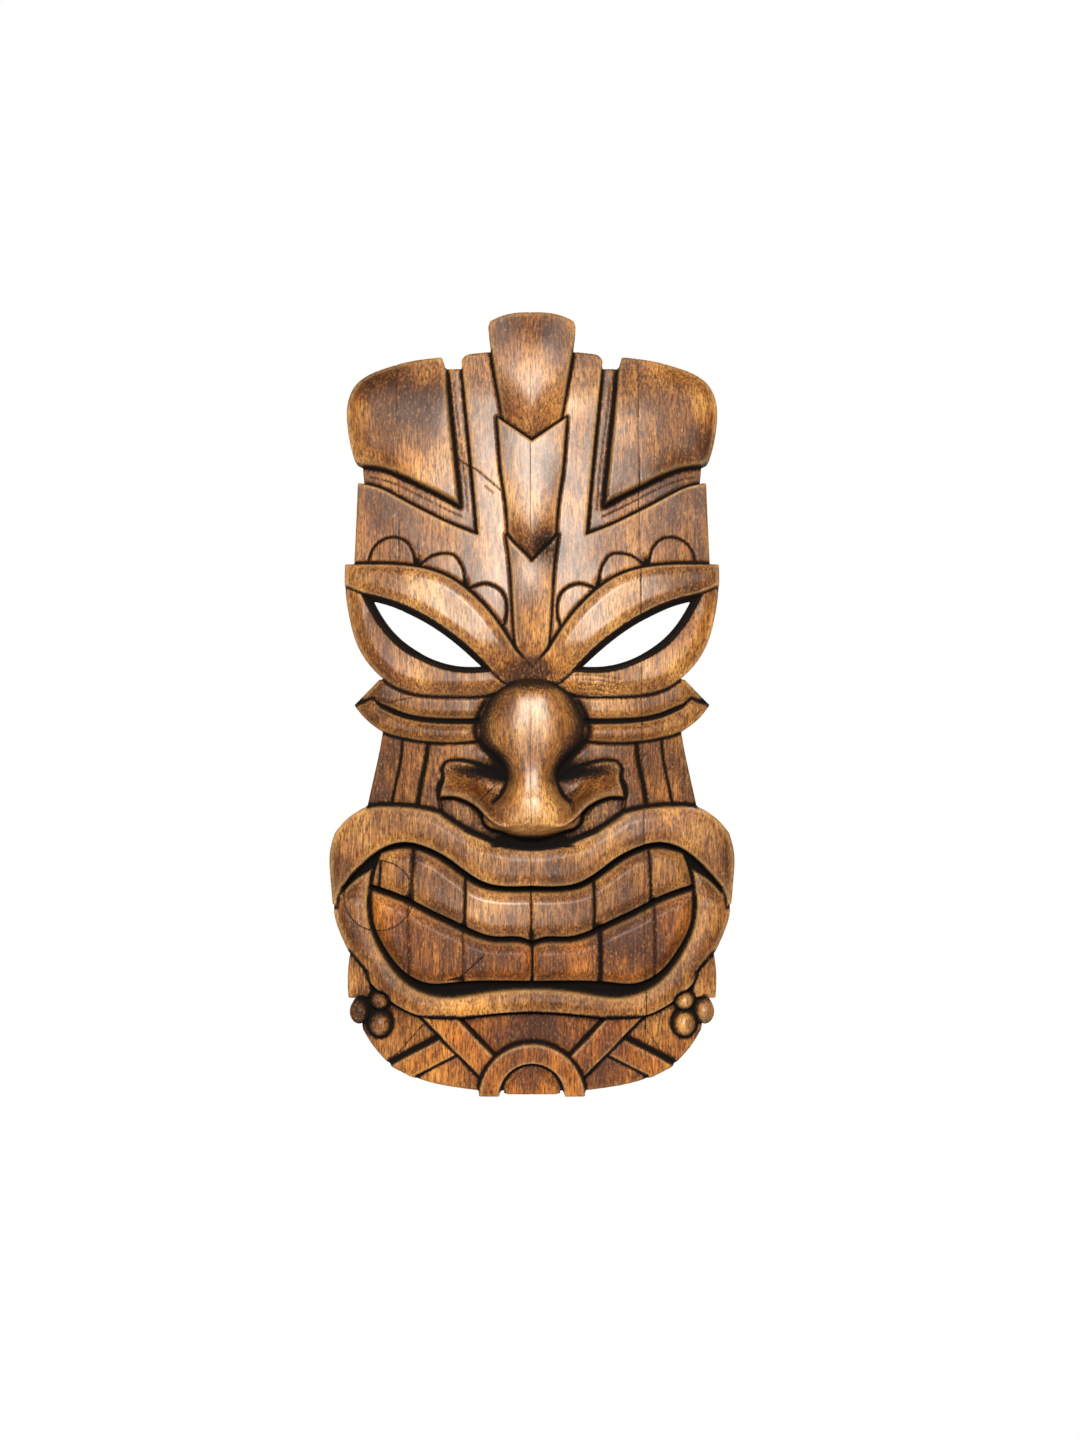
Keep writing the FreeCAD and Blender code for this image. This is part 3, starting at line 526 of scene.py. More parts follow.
def carve_chin(half):
    """Jaw block, beads, straps, arch and the plates between them."""
    half.carve([
        [(-95, 62), (-94.6, 49.5)], (-82, 49.5), (-84, 64), (-93.4, 75),
    ], 25, worn=0.5)
    half.carve([
        (-38.5, 40.5), (-19, 20.5), (0, 20.5), (0, 43.5), (-30, 41.4),
    ], 21, wall=2.2, worn=0, line=0.9, line_width=0.9, tone=-0.5, warm=0.5, solid=False)
    half.carve([
        (-61.4, 8.7), (-36, 22), (-46, 30), (-73, 15.4), (-75.2, 15.6),
    ], 23, warm=0.5, line_width=1)
    half.incise([(-72.5, 17.4), (-46.5, 31)], 2.6, 1.2, curved=False)
    half.carve([(-58, 41), (-26, 8.5), (-16, 17), (-38.7, 41)], 25, worn=0.6, warm=0.5,
               line_width=1)
    outer, inner = 27.5, 16.4
    turns = [k * pi / 20 for k in range(11)]
    bow = [(-outer * sin(turn), outer * cos(turn)) for turn in turns]
    hollow = [(-inner * sin(turn), inner * cos(turn)) for turn in turns[::-1]]
    half.carve(bow + hollow, 28, worn=0.6, warm=0.55, line_width=0.9, trench=1)
    half.carve([(0, inner - 1), (-inner + 1, 0), (0, 0)], 20, worn=0, line=0, warm=0.55)
    for x, z, wide, high in ((-88.6, 43.1, 5.2, 6.8), (-78.4, 36.9, 6.3, 7.3), (-78.3, 48.7, 5.4, 5.2)):
        out = np.hypot((half.x - x) / wide, (half.z - z) / high)
        level = 20.5 + 8.5 * np.sqrt(np.clip(1 - out ** 2, 0, 1))
        cover = ease((1.02 - out) / 0.12)
        ring = bump((out - 1.05) / 0.16)
        half.height -= 0.8 * ring
        half.height += (level - half.height) * cover
        half.grime = np.maximum(half.grime * (1 - cover), 0.95 * ring)
        # Painted shade: each bead darkens towards its rim, as a dome turning away from the light would.
        half.grime = np.maximum(half.grime, 0.7 * cover * ease((out - 0.5) / 0.5))
        half.wear = np.maximum(half.wear * (1 - cover), 0.2 * cover * bump((out - 0.2) / 0.4))
        half.polish += 0.8 * cover
        half.edge = np.minimum(half.edge, (out - 1) * min(wide, high))


# ---- whole face

def tooth_gaps(face):
    """Gaps between the teeth: across at the foot and the top, up from and to, width, depth, darkness."""
    gaps = [
        (-34.8, -34, 86, 112, 1.3, 1.5, 1), (-62.5, -60.5, 100, 126, 2.2, 1, 0.75),
        (-78.6, -77.6, 105, 120, 1.4, 1.2, 0.9), (-0.6, -0.6, 78, 107, 0.9, 1, 0.8),
        (0, 0, 57, 79, 1, 1.2, 1), (-35.4, -35.4, 57, 86, 1, 0.7, 0.5),
        (-63.2, -63.6, 62, 100, 1.4, 0.7, 0.45),
        (31.7, 31.4, 86, 110.5, 1.4, 1.5, 1), (60.8, 59.6, 100, 125.5, 1.4, 1.2, 0.85),
        (34.7, 34.7, 57, 85, 2.2, 1.8, 1), (62.8, 62.2, 62, 100, 1.4, 0.9, 0.6),
    ]
    for foot, top, low, high, width, depth, dark in gaps:
        middle = ((foot + top) / 2 + 0.3, (low + high) / 2)
        face.incise([(foot, low), middle, (top, high)], width, depth, dark)
    for x, z, wide, high in ((0, 82, 1.5, 4.2), (-35, 87.2, 1.6, 1.8), (34, 87, 2, 2),
                             (-63.3, 101.4, 1.9, 1.7), (62, 100.5, 1.5, 1.5)):
        face.spot(x, z, wide, high, grime=1, height=-2)


def marks_of_age(face):
    """Cracks, scratches, the glue lines and the ring of the knot plug."""
    cut = face.incise
    cut([(-41, 331), (-38.5, 327), (-31, 322), (-28, 320), (-15.5, 309.5)], 0.55, 0.35, 0.8, curved=False)
    cut([(-24, 312), (-20, 308.5)], 0.5, 0.3, 0.6)
    cut([(-43.3, 59.6), (-37, 61), (-24.5, 72.4)], 0.6, 0.4, 0.8, curved=False)
    face.spot(-37, 60.5, 3, 1.3, grime=0.9)
    cut([(-71, 19), (-55, 37)], 0.6, 0.3, 0.6)
    cut([(70, 17), (57, 36)], 0.6, 0.3, 0.4)
    cut([(-74, 201.5), (-62, 204)], 0.6, 0.3, 0.6)
    cut([(-26, 152), (-19, 159)], 0.5, 0.3, 0.7)
    for number in range(5):
        up = 214.5 - 2.4 * number
        cut([(22 + number, up + 1), (36, up + 0.4), (46 - number, up - 1.4)], 0.6, 0.35, 0.4)
    for name, (top, foot) in SEAMS.items():
        across = foot + (top - foot) * face.z / HEIGHT
        width = 0.32 if name == "right" else 0.22
        dark = {"left": 0.4, "centre": 0.22, "right": 0.5}[name]
        dark = dark + 0.3 * (ripples(face.x, face.z, 40, 3) > 0.3)
        away = np.abs(face.x - across)
        if name == "centre":
            dark = dark * (face.z < 200)
        face.height -= 0.12 * bump(away / width)
        face.grime = np.maximum(face.grime, dark * bump(away / width))
    x, z, radius = PLUG
    away = np.abs(np.hypot(face.x - x, face.z - z) - radius)
    face.height -= 0.15 * bump(away / 0.3)
    face.grime = np.maximum(face.grime, 0.75 * bump(away / 0.35))


def colour_patches(face):
    """Darker and lighter areas of the stain, with painted shade on the rolled-back tops of the left corner
    block and the crest's cap, a painted highlight on the right brow, and the roughened ground of the right
    side.
    """
    spot = face.spot
    spot(-60, 122, 5, 5, tone=-1.1, grime=0.15)
    # Painted shade: the top of the left corner block, which rolls back, is darker.
    spot(-66, 358, 30, 14, tone=-1.6, turn=-20)
    spot(-82, 296, 12, 14, tone=-0.5)
    spot(-83, 292, 8, 14, warm=0.5)
    spot(76, 300, 20, 12, tone=-0.1)
    spot(84, 332, 12, 9, tone=-0.7)
    spot(68, 342, 20, 22, tone=-0.4)
    spot(40, 306, 9, 6, grime=0.3, turn=25)
    spot(6, 281, 8, 9, grime=0.65)
    spot(24, 219.5, 2.4, 1.6, warm=2, tone=0.8)
    spot(52, 86, 26, 20, tone=-0.8)
    spot(-84, 44, 10, 10, tone=-2.6, grime=0.45)
    face.wear *= 1 - bump(np.hypot(face.x + 84, face.z - 44) / 11)
    spot(84, 44, 9, 9, tone=0.2)
    spot(-20, 100, 30, 8, tone=0.25)
    # Painted highlight on the right brow.
    spot(36, 250, 22, 9, tone=0.5, turn=-40)
    spot(0, 280, 13, 16, tone=-1.2)
    # Painted shade: the top of the crest's cap, which leans back, is darker.
    spot(0, 388, 22, 12, tone=-0.7)
    spot(0, 116, 20, 9, tone=-0.6)
    spot(64, 138, 26, 10, tone=-0.7)
    spot(-68, 300, 18, 12, tone=-0.6)
    spot(70, 137, 20, 8, tone=0.7)
    spot(-31, 49, 20, 7, tone=0.6)
    spot(0, 10, 18, 12, warm=1.2, tone=-0.1)
    spot(0, 32, 26, 8, warm=0.8, tone=-0.9)
    spot(0, 20, 70, 20, warm=0.8, tone=-0.1)
    face.tone += 0.45 * ripples(face.x, face.z, 42, 11) + 0.2 * ripples(face.x, face.z, 15, 12, 2)
    face.warm += 0.30 * ripples(face.x, face.z, 50, 13)


def rub_up_and_paint_highlights(face):
    """Wax polish: bright where hands and cloth reach, dull over the cheeks and the chin. The tone raised
    with it on the nose, the upper teeth, the brows and the lower lids is painted highlight.
    """
    spot = face.spot
    face.polish += 0.08
    for foot, length, share in ((60, 50, 0.17), (180, 40, 0.1), (255, 50, 0.15)):
        face.polish += share * ease((face.z - foot) / length)
    spot(0, 310, 34, 55, polish=0.8)
    # Painted highlight on the nose's bulb and tip: the tone is raised there.
    spot(0, 194, 22, 18, polish=1, tone=0.6)
    spot(0, 188, 12, 18, tone=0.9)
    spot(0, 149, 13, 16, polish=1, tone=1.3)
    spot(0, 92, 40, 10, polish=0.15)
    spot(0, 217, 13, 8, polish=-1)
    # Painted highlight on the upper teeth left of the middle.
    spot(-16, 98, 16, 10, polish=0.8, tone=0.5)
    spot(72, 138, 24, 9, polish=0.5)
    spot(0, 388, 22, 14, polish=-0.5)
    spot(0, 245, 8, 20, polish=-0.5)
    # Painted highlights, with the polish, on the brows and on the lower lids.
    for side in (-1, 1):
        spot(34 * side, 250, 22, 12, polish=0.9, tone=0.3, turn=-40 * side)
        spot(54 * side, 258, 24, 9, polish=0.8, tone=0.4, turn=-15 * side)
        spot(68 * side, 168, 22, 20, polish=-0.4)
        spot(46 * side, 172, 8, 12, tone=0.6)
        spot(64 * side, 221, 15, 5, polish=0.7, tone=0.5, turn=35 * side)
        spot(82 * side, 345, 20, 30, polish=-0.2)
    face.polish = np.clip(face.polish * (1 + 0.35 * ripples(face.x, face.z, 30, 31)), 0, 1)


def crown_over(face):
    """Rounds the whole face off towards its sides."""
    drop = CROWN_RADIUS - np.sqrt(CROWN_RADIUS ** 2 - face.x ** 2)
    nose = ease((34 - np.abs(face.x)) / 8)
    nose *= ease((face.z - 124) / 6) * ease((234 - face.z) / 16)
    face.height += 1 - nose - 0.85 * drop
    face.height = np.minimum(face.height, HIGHEST)


def blurred(values, weight, reach):
    """Gaussian blur that leaves out what lies off the carving."""
    taps = np.arange(-int(3 * reach / GRID), int(3 * reach / GRID) + 1)
    kernel = bump(taps * GRID / (reach * 2 ** 0.5))
    spread = values * weight, weight.astype(float)
    for axis in (0, 1):
        spread = [np.apply_along_axis(np.convolve, axis, part, kernel, "same") for part in spread]
    return spread[0] / np.maximum(spread[1], 1e-6)


def settle_grime(face):
    """Adds grime and painted shade wherever the carving is hollow (patina in the fine crevices, painted
    shade over the broader hollows) and wear wherever it stands proud.
    """
    on = face.edge < 0
    fine, middle, broad = (blurred(face.height, on, reach) - face.height for reach in (0.9, 2.4, 6.0))
    # The middle and broad terms are painted shade: they darken the wider hollows as occlusion would.
    hollow = (0.55 * np.clip(fine - 0.1, 0, 1) + 0.09 * np.clip(middle - 0.5, 0, 3)
              + 0.035 * np.clip(broad - 0.8, 0, 6))
    proud = np.clip(-fine - 0.05, 0, 1) * 0.28 + np.clip(-middle - 0.5, 0, 2) * 0.06
    face.grime = np.clip(np.maximum(face.grime, hollow) + 0.3 * hollow, 0, 1)
    face.wear = np.clip(face.wear * 0.85 + proud, 0, 1) * (1 - 0.8 * face.grime)


def carving():
    """The finished face, and the distance to the edge of the eye holes."""
    across = np.arange(-round(108 / GRID), 1) * GRID
    up = np.arange(-round(4 / GRID), round(404 / GRID) + 1) * GRID
    half = Relief(across, up)
    for step in (carve_board, carve_forehead, carve_petals, carve_crest, carve_cheeks, carve_eye,
                 carve_mouth, carve_nose, carve_chin):
        step(half)
    hole = eye_hole(half)
    holes = np.concatenate([hole, hole[-2::-1]], axis=0)
    face = half.both_sides()
    tooth_gaps(face)
    marks_of_age(face)
    crown_over(face)
    face.height += 0.11 * ripples(face.x, face.z, 22, 21) + 0.02 * ripples(face.x, face.z, 6, 22, 1.6)
    settle_grime(face)
    colour_patches(face)
    rub_up_and_paint_highlights(face)
    face.height = np.maximum(face.height, POCKET_DEPTH + 3)
    return face, holes


# ---- cutting the face into pieces

def put_in_scene(name, data):
    """A new object of this mesh, lamp or camera."""
    thing = bpy.data.objects.new(name, data)
    bpy.context.scene.collection.objects.link(thing)
    return thing


def sample(face, values, x, z):
    """Values of a grid at points between its corners."""
    i = np.clip((x - face.across[0]) / GRID, 0, len(face.across) - 1.001)
    j = np.clip((z - face.up[0]) / GRID, 0, len(face.up) - 1.001)
    i0, j0 = i.astype(int), j.astype(int)
    u, v = i - i0, j - j0
    return ((values[i0, j0] * (1 - u) + values[i0 + 1, j0] * u) * (1 - v)
            + (values[i0, j0 + 1] * (1 - u) + values[i0 + 1, j0 + 1] * u) * v)


def clip_grid(face, field):
    """Corner points (x, z) and faces of the part of the grid where the field is not positive, cut along
    its contour. Faces run anticlockwise as seen from the front."""
    x, z, field = face.x.copy(), face.z.copy(), field.copy()
    slope_x, slope_z = np.gradient(field, GRID)
    steep = np.hypot(slope_x, slope_z) + 1e-9
    close = np.abs(field) < 0.2 * GRID
    x[close] -= (field * slope_x / steep ** 2)[close]
    z[close] -= (field * slope_z / steep ** 2)[close]
    field[close] = 0.0
    kept = field <= 0
    number = np.full(field.shape, -1)
    number[kept] = np.arange(kept.sum())
    points = [np.column_stack([x[kept], z[kept]])]
    total = int(kept.sum())

    edge_number = {}
    for axis in (0, 1):
        at = np.argwhere(np.abs(np.diff(np.sign(field), axis=axis)) == 2)
        i, j = at.T
        i2, j2 = (i + 1, j) if axis == 0 else (i, j + 1)
        share = field[i, j] / (field[i, j] - field[i2, j2])
        points.append(np.column_stack([x[i, j] + share * (x[i2, j2] - x[i, j]),
                                       z[i, j] + share * (z[i2, j2] - z[i, j])]))
        for k, (ei, ej) in enumerate(at.tolist()):
            edge_number[axis, ei, ej] = total + k
        total += len(at)

    corners = np.stack([number[:-1, :-1], number[1:, :-1], number[1:, 1:], number[:-1, 1:]], axis=-1)
    inside = (corners >= 0).sum(axis=-1)
    faces = corners[inside == 4].tolist()
    for i, j in np.argwhere((inside > 0) & (inside < 4)).tolist():
        ring = ((i, j), (i + 1, j), (i + 1, j + 1), (i, j + 1))
        sides = ((0, i, j), (1, i + 1, j), (0, i, j + 1), (1, i, j))
        shape = []
        for corner, side in zip(ring, sides):
            if kept[corner]:
                shape.append(int(number[corner]))
            if side in edge_number:
                shape.append(edge_number[side])
        if len(shape) > 2:
            faces.append(shape)
    points = np.concatenate(points)
    used = np.zeros(len(points), bool)
    used[[v for shape in faces for v in shape]] = True
    return points[used], renumber(faces, used)


def renumber(faces, keep):
    """The faces with their corners numbered among those that are kept."""
    index = np.cumsum(keep) - 1
    return [[int(index[v]) for v in face] for face in faces]


def rim(faces):
    """The longest loop of edges that have a face on one side only, in order."""
    heads = np.concatenate([np.array(f) for f in faces])
    tails = np.concatenate([np.roll(f, -1) for f in faces])
    base = int(heads.max()) + 1
    there = heads.astype(np.int64) * base + tails
    back = tails.astype(np.int64) * base + heads
    lone = ~np.isin(there, back)
    following = dict(zip(heads[lone].tolist(), tails[lone].tolist()))
    loops = []
    while following:
        first, here = following.popitem()
        loop = [first]
        while here != first:
            loop.append(here)
            here = following.pop(here)
        loops.append(loop)
    loops.sort(key=len)
    return loops[-1]


def pocket_line(start, end):
    """Points round the pocket's wall from one point of the glue line to another, on one side of it."""
    left, foot, right, top = POCKET
    rising = start[1] < end[1]
    side, radius = (left, POCKET_CORNER) if rising else (right, -POCKET_CORNER)
    turns = [k * pi / 12 for k in range(7)]
    low = [(side + radius * (1 - sin(turn)), foot + POCKET_CORNER * (1 - cos(turn))) for turn in turns]
    high = [(x, foot + top - z) for x, z in low]
    return low + high[::-1] if rising else high + low[::-1]


def strip(columns, first, last):
    """Faces between neighbouring columns of corners, from one row to another."""
    return [[b[r], a[r], a[r + 1], b[r + 1]]
            for a, b in zip(columns, columns[1:]) for r in range(first, last)]


def cut_pocket(columns, edge, in_pocket, total):
    """Corners and faces of the pocket's wall in a piece, the rings round the pocket's floor and the back,
    the columns that still run to the back, and the corners that are left over."""
    count, rows = len(columns), len(SIDE_ROWS)
    enters = next(k for k in range(count) if in_pocket[k] and not in_pocket[k - 1])
    order = [(enters + k) % count for k in range(count)]
    within = [k for k in order if in_pocket[k]]
    inside = [columns[k] for k in within]
    outside = [columns[k] for k in order if not in_pocket[k]]
    line = pocket_line(edge[within[0]], edge[within[-1]])
    wall = [(x, -level, z) for x, z in line for level in SIDE_ROWS]
    arc = [[None] + list(range(total + rows * k, total + rows * (k + 1))) for k in range(len(line))]
    arc = inside[:1] + arc + inside[-1:]
    faces = strip(arc, 1, rows) + strip(inside, 0, 1)
    floor = [column[1] for column in arc + inside[-2:0:-1]]
    back = [column[-1] for column in arc + outside]
    left_over = [v for column in inside[1:-1] for v in column[2:]]
    return wall, faces, floor, back, inside[-1:] + outside + inside[:1], left_over


def flat_faces(corners, ring):
    """Triangles over a flat ring of corners, facing the wall."""
    faces = []
    for triangle in tessellate_polygon([[Vector((corners[v][0], corners[v][2], 0)) for v in ring]]):
        a, b, c = (ring[k] for k in triangle)
        (ax, _, az), (bx, _, bz), (cx, _, cz) = corners[[a, b, c]]
        facing = (bx - ax) * (cz - az) - (bz - az) * (cx - ax)
        faces.append([a, b, c] if facing < 0 else [a, c, b])
    return faces


def wooden_mesh(name, corners, faces, crisp, layers):
    """A mesh in the frame's metres with these edges sharp. The layers belong to its first corners."""
    solid = corners * MM
    solid[:, 2] += FOOT
    mesh = bpy.data.meshes.new(name)
    mesh.from_pydata(solid.tolist(), [], faces)
    mesh.update()
    mesh.polygons.foreach_set("use_smooth", np.ones(len(mesh.polygons), bool))
    for layer, front in layers.items():
        values = np.zeros(len(corners), np.float32)
        values[:len(front)] = front
        mesh.attributes.new(layer, "FLOAT", "POINT").data.foreach_set("value", values)
    ends = np.zeros(len(mesh.edges) * 2, int)
    mesh.edges.foreach_get("vertices", ends)
    key = np.array([len(corners), 1])
    sharp = np.isin(np.sort(ends.reshape(-1, 2)) @ key, np.sort(crisp) @ key)
    mesh.attributes.new("sharp_edge", "BOOLEAN", "EDGE").data.foreach_set("value", sharp)
    return mesh


def build_piece(name, node, face, field, outer, material):
    """One solid piece of wood: the carved front inside the field's contour, sides and a flat back."""
    points, faces = clip_grid(face, field)
    loop = rim(faces)
    slope_x, slope_z = np.gradient(outer, GRID)
    outward = np.column_stack([sample(face, slope_x, *points.T), sample(face, slope_z, *points.T)])
    beyond = sample(face, outer, *points.T)[:, None]
    firm = (points - np.clip(beyond + EDGE_WALL, 0, None) * outward).T      # clear of the wall
    rounding = EDGE_ROLL * np.clip(1 + beyond[:, 0] / EDGE_WALL, 0, 1) ** 2
    height = sample(face, face.height, *firm) - rounding
    corners = [np.column_stack([points[:, 0], -height, points[:, 1]])]

    edge = points[loop]
    ahead = np.roll(edge, -1, axis=0) - np.roll(edge, 1, axis=0)
    normal = np.column_stack([ahead[:, 1], -ahead[:, 0]]) / (np.hypot(*ahead.T)[:, None] + 1e-9)
    free = np.clip(1 + beyond[loop] / 0.9, 0, 1)
    count, rows = len(loop), len(SIDE_ROWS)
    for level, tuck in zip(SIDE_ROWS, SIDE_TUCK):
        draft = 0.8 * EDGE_INSET * (1 - level / height[loop])[:, None]
        place = edge + free * draft * outward[loop] - tuck * (0.15 + 0.85 * free) * normal
        corners.append(np.column_stack([place[:, 0], np.full(count, -level), place[:, 1]]))
    columns = [[loop[k]] + [len(points) + row * count + k for row in range(rows)] for k in range(count)]

    left, foot, right, top = POCKET
    in_pocket = (edge[:, 0] > left) & (edge[:, 0] < right) & (edge[:, 1] > foot) & (edge[:, 1] < top)
    if in_pocket.any():
        total = len(points) + rows * count
        wall, added, floor, back, ring, left_over = cut_pocket(columns, edge, in_pocket, total)
        corners.append(np.array(wall))
        faces += added
    else:
        floor, left_over = [], []
        back = [column[-1] for column in columns]
        ring = columns + columns[:1]
    corners = np.concatenate(corners)
    faces += strip(ring, 0, rows) + flat_faces(corners, back)
    if floor:
        faces += flat_faces(corners, floor)

    keep = np.ones(len(corners), bool)
    keep[left_over] = False
    crisp = renumber([[a[0], b[0]] for a, b in zip(ring, ring[1:])], keep)
    layers = {layer: sample(face, getattr(face, layer), *firm) for layer in LAYERS}
    mesh = wooden_mesh(name, corners[keep], renumber(faces, keep), crisp, layers)
    mesh.materials.append(material)
    piece = put_in_scene(name, mesh)
    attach(piece, "mask")
    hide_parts(node)


def wooden_pieces():
    """Four staves and the knot plug."""
    face, holes = carving()
    seam = {name: face.x - (foot + (top - foot) * face.z / HEIGHT) for name, (top, foot) in SEAMS.items()}
    plug = np.hypot(face.x - PLUG[0], face.z - PLUG[1]) - PLUG[2]
    outer = face.edge + EDGE_INSET
    whole = np.maximum(outer, -holes)
    around_plug = np.maximum(whole, -plug)
    fields = {
        "stave_outer_left": np.maximum(around_plug, seam["left"]),
        "stave_inner_left": np.maximum(around_plug, np.maximum(-seam["left"], seam["centre"])),
        "stave_inner_right": np.maximum(whole, np.maximum(-seam["centre"], seam["right"])),
        "stave_outer_right": np.maximum(whole, -seam["right"]),
        "knot_plug": np.maximum(whole, plug),
    }
    for number, (node, field) in enumerate(fields.items()):
        build_piece("carved_" + node, node, face, field, outer, wood_material("wood_" + node, number))


# ---- materials

class Nodes:
    """Short ways to add shader nodes."""

    def __init__(self, material):
        material.use_nodes = True
        self.tree = material.node_tree
        self.shader = self.tree.nodes["Principled BSDF"]

    def feed(self, node, inputs):
        """Gives a node's inputs numbers, vectors, colours or the outputs of other nodes."""
        for name, value in inputs.items():
            socket = node.inputs[name]
            if isinstance(value, bpy.types.NodeSocket):
                self.tree.links.new(value, socket)
            elif socket.type == "RGBA":
                socket.default_value = (*value, 1)
            else:
                socket.default_value = value

    def add(self, kind, inputs={}, **settings):
        node = self.tree.nodes.new("ShaderNode" + kind)
        for name, value in settings.items():
            setattr(node, name, value)
        self.feed(node, inputs)
        return node

    def math(self, operation, a, b, clamp=False):
        return self.add("Math", {0: a, 1: b}, operation=operation, use_clamp=clamp).outputs[0]

    def mix(self, share, a, b, blend="MIX"):
        return self.add("Mix", {0: share, 6: a, 7: b}, data_type="RGBA", blend_type=blend).outputs[2]

    def spread(self, source, low, high, to_low=0.0, to_high=1.0):
        """Stretches a range of a value to another, clamped."""
        ends = {"From Min": low, "From Max": high, "To Min": to_low, "To Max": to_high}
        return self.add("MapRange", {"Value": source, **ends}, clamp=True).outputs[0]

    def attribute(self, name):
        return self.add("Attribute", attribute_name=name).outputs["Fac"]

    def grain(self, offset, stretch, scale, detail=2.0, roughness=0.5, distortion=0.0):
        """Noise of the wood in millimetres; stretch gives each axis its own scale."""
        place = self.add("TexCoord").outputs["Object"]
        per_mm = tuple(share / MM for share in stretch)
        mapping = self.add("Mapping", {"Vector": place, "Location": offset, "Scale": per_mm})
        return self.add("TexNoise", {"Vector": mapping.outputs["Vector"], "Scale": scale, "Detail": detail,
                                     "Roughness": roughness, "Distortion": distortion}).outputs["Fac"]

    def raised(self, height, distance, strength=1.0):
        """Normal of a fine relief, with its height in millimetres."""
        inputs = {"Strength": strength, "Distance": distance * MM, "Height": height}
        return self.add("Bump", inputs).outputs["Normal"]


def wood_material(name, number):
    """Stained and varnished beech: mottled brown with fine upright pores, near-black in the hollows from
    grime and painted shade, and rubbed bright on the edges."""
    material = bpy.data.materials.new(name)
    n = Nodes(material)
    offset = (37.0 * number, 11.0 * number, 53.0 * number)
    mottle = n.grain((0, 0, 0), (1, 1, 0.6), 0.035, 3.0, 0.55)
    cloud = n.grain(offset, (1, 1, 0.2), 0.16, 3.0, 0.6, 0.4)
    fibre = n.grain(offset, (1, 1, 0.07), 1.1, 3.0, 0.65)
    pores = n.grain(offset, (1, 1, 0.16), 1.25, 2.0, 0.6)
    speckle = n.grain(offset, (1, 1, 0.55), 0.95, 3.0, 0.7)

    grime, wear, tone, warm, polish = (n.attribute(layer) for layer in LAYERS)

    # tone carries the stain's lighter and darker areas together with the painted highlights and painted
    # shade.
    shade = n.math("ADD", n.math("MULTIPLY", tone, 0.28), n.spread(mottle, 0.3, 0.7, 0.14, 0.80))
    shade = n.math("ADD", shade, n.spread(cloud, 0.3, 0.7, -0.18, 0.18))
    shade = n.math("ADD", shade, n.spread(fibre, 0.3, 0.7, -0.24, 0.24))
    ramp = n.add("ValToRGB", {"Fac": shade})
    stops = ramp.color_ramp.elements
    stops[0].position, stops[0].color = 0.0, (0.050, 0.014, 0.003, 1)
    stops[1].position, stops[1].color = 1.0, (0.61, 0.315, 0.085, 1)
    for place, colour in ((0.3, (0.135, 0.043, 0.007, 1)), (0.6, (0.315, 0.126, 0.025, 1))):
        stop = stops.new(place)
        stop.color = colour
    colour = n.mix(n.spread(warm, 0.0, 1.0, 0.0, 0.9), ramp.outputs["Color"],
                   n.mix(1.0, ramp.outputs["Color"], (1.25, 0.92, 0.30), "MULTIPLY"))
    colour = n.mix(n.spread(pores, 0.50, 0.62, 0.0, 0.75), colour, (0.040, 0.012, 0.003))
    colour = n.mix(n.spread(speckle, 0.56, 0.66, 0.0, 0.5), colour, (0.03, 0.009, 0.003))
    colour = n.mix(n.spread(speckle, 0.30, 0.44, 0.3, 0.0), colour, (0.66, 0.38, 0.13))
    rubbed = n.math("MULTIPLY", wear, n.spread(speckle, 0.35, 0.6, 1.0, 0.55))
    colour = n.mix(n.math("MULTIPLY", rubbed, 0.75), colour, (0.62, 0.385, 0.17))
    # Grime and painted shade from the attribute turn the colour near-black.
    patchy = n.math("MULTIPLY", n.math("MULTIPLY", grime, n.math("SUBTRACT", 1.0, grime)),
                    n.spread(speckle, 0.3, 0.7, -1.4, 1.4))
    darkening = n.math("ADD", grime, patchy)
    colour = n.mix(n.spread(darkening, 0.05, 0.5, 0.0, 0.9), colour, (0.030, 0.009, 0.003))
    colour = n.mix(n.spread(darkening, 0.45, 0.9, 0.0, 1.0), colour, (0.003, 0.0015, 0.001))

    gloss = n.math("ADD", n.spread(speckle, 0.3, 0.7, 0.50, 0.62), n.math("MULTIPLY", grime, 0.5))
    relief = n.math("ADD", n.math("MULTIPLY", fibre, 0.5), n.math("MULTIPLY", speckle, 0.8))
    relief = n.math("SUBTRACT", relief, n.math("MULTIPLY", n.spread(pores, 0.55, 0.68), 0.35))
    n.feed(n.shader, {
        "Base Color": colour,
        "Roughness": n.math("ADD", gloss, n.spread(cloud, 0.3, 0.7, -0.05, 0.05), clamp=True),
        "IOR": 1.5,
        "Specular IOR Level": 0.25,
        "Coat Weight": n.math("MULTIPLY", polish, n.spread(grime, 0.0, 0.6, 1.0, 0.0)),
        "Coat Roughness": 0.37,
        "Normal": n.raised(relief, 0.3),
    })
    return material


def steel_material(name, brushed_along, worn=0.0):
    """Zinc-plated steel with fine brush marks and a few dull spots."""
    material = bpy.data.materials.new(name)
    n = Nodes(material)
    marks = n.grain((3, 5, 7), brushed_along, 2.4, 3.0, 0.6)
    spots = n.grain((9, 1, 4), (1, 1, 1), 0.35, 3.0, 0.65)
    colour = n.mix(n.spread(spots, 0.4, 0.7, 0.0, 0.8), (0.62, 0.61, 0.57), (0.40, 0.385, 0.35))
    colour = n.mix(n.spread(marks, 0.35, 0.65, 0.0, 0.35), colour, (0.72, 0.71, 0.69))
    n.feed(n.shader, {
        "Base Color": colour,
        "Metallic": 1.0,
        "Roughness": n.spread(spots, 0.35, 0.7, 0.26 + worn, 0.46 + worn),
        "Normal": n.raised(marks, 0.05, 0.25),
    })
    return material


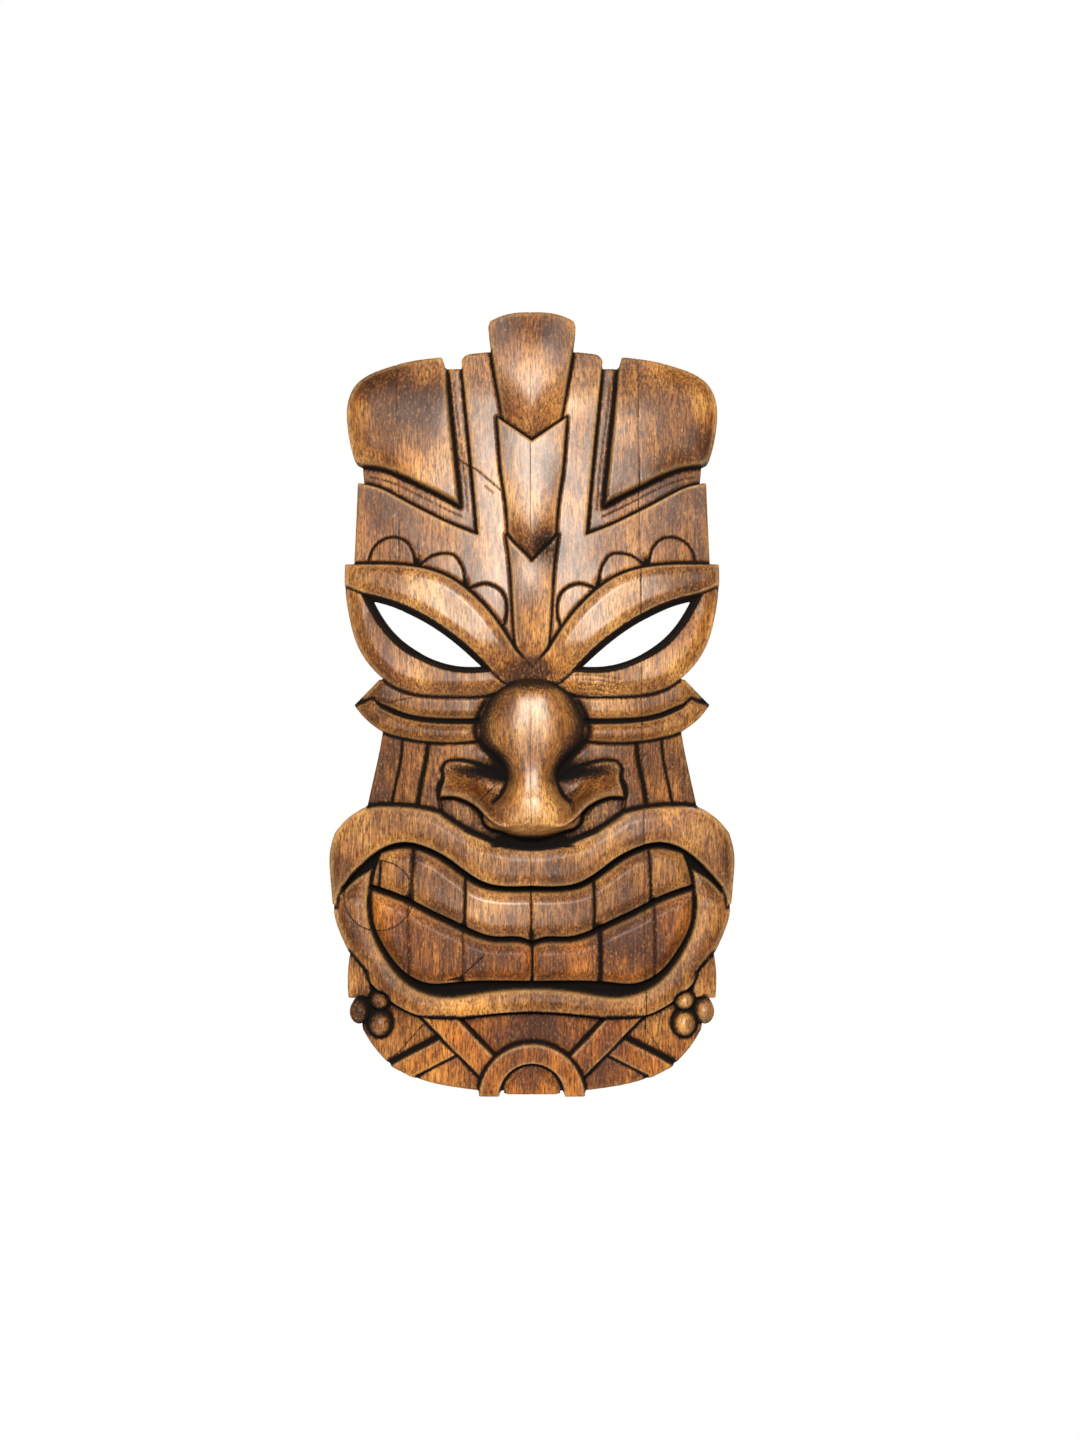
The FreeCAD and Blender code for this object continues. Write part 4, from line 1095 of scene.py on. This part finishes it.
def hanger_looks():
    """Better metal for the hanger's CAD pieces."""
    looks = {
        "hanger_plate": steel_material("plated_strap", (1, 1, 0.08)),
        "hanger_ring": steel_material("drawn_wire", (0.3, 1, 0.3)),
        "hanger_screws": steel_material("screw_steel", (1, 1, 1), 0.06),
    }
    for node, material in looks.items():
        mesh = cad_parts[node].data
        mesh.materials.clear()
        mesh.materials.append(material)


# ---- surroundings, light and camera

def studio():
    """Pale floor, white surroundings and soft lamps."""
    mesh = bpy.data.meshes.new("floor")
    reach, level = 1.9, FOOT - 0.8
    mesh.from_pydata([(-reach, -reach, level), (reach, -reach, level), (reach, reach, level),
                      (-reach, reach, level)], [], [(0, 1, 2, 3)])
    material = bpy.data.materials.new("pale_floor")
    n = Nodes(material)
    n.feed(n.shader, {"Base Color": (0.86, 0.86, 0.85), "Roughness": 0.7})
    mesh.materials.append(material)
    put_in_scene("floor", mesh)

    world = bpy.data.worlds.new("white_room")
    bpy.context.scene.world = world
    world.use_nodes = True
    tree = world.node_tree
    path = tree.nodes.new("ShaderNodeLightPath")
    seen = tree.nodes.new("ShaderNodeMapRange")
    tree.links.new(path.outputs["Is Camera Ray"], seen.inputs["Value"])
    seen.inputs["To Min"].default_value = 0.17
    seen.inputs["To Max"].default_value = 1.0
    tree.nodes["Background"].inputs["Color"].default_value = (1.0, 1.0, 0.995, 1)
    tree.links.new(seen.outputs["Result"], tree.nodes["Background"].inputs["Strength"])

    lamp("key", (0.05, -1.1, 0.65), 0.9, 0.4, 4, target=(0, 0, 0.02))
    lamp("front", (-0.01, -1.45, 0.20), 0.26, 0.34, 27.5, colour=(1, 0.92, 0.81))
    lamp("fill", (-1, -0.9, 0.1), 0.9, 0.9, 1.1)
    lamp("back", (0.7, 1.2, 0.9), 0.9, 0.9, 12)


def lamp(name, place, width, depth, power, target=(0, 0, 0), colour=(1, 1, 1)):
    """A soft box pointed at a target."""
    data = bpy.data.lights.new(name, "AREA")
    data.shape = "RECTANGLE"
    data.size = width
    data.size_y = depth
    data.energy = power
    data.color = colour
    light = put_in_scene(name, data)
    light.location = place
    light.rotation_euler = (Vector(target) - Vector(place)).to_track_quat("-Z", "Y").to_euler()


def camera():
    """Straight on from the front, a little below the mask's middle."""
    data = bpy.data.cameras.new("camera")
    data.lens = 60.0
    data.sensor_width = 36.0
    data.clip_end = 50.0
    seat = put_in_scene("camera", data)
    seat.location = (0.0041, -1.253, -0.0074)
    seat.rotation_euler = (pi / 2, 0, 0)
    bpy.context.scene.camera = seat


camera()
studio()
wooden_pieces()
hanger_looks()
bpy.context.scene.view_settings.view_transform = "Standard"
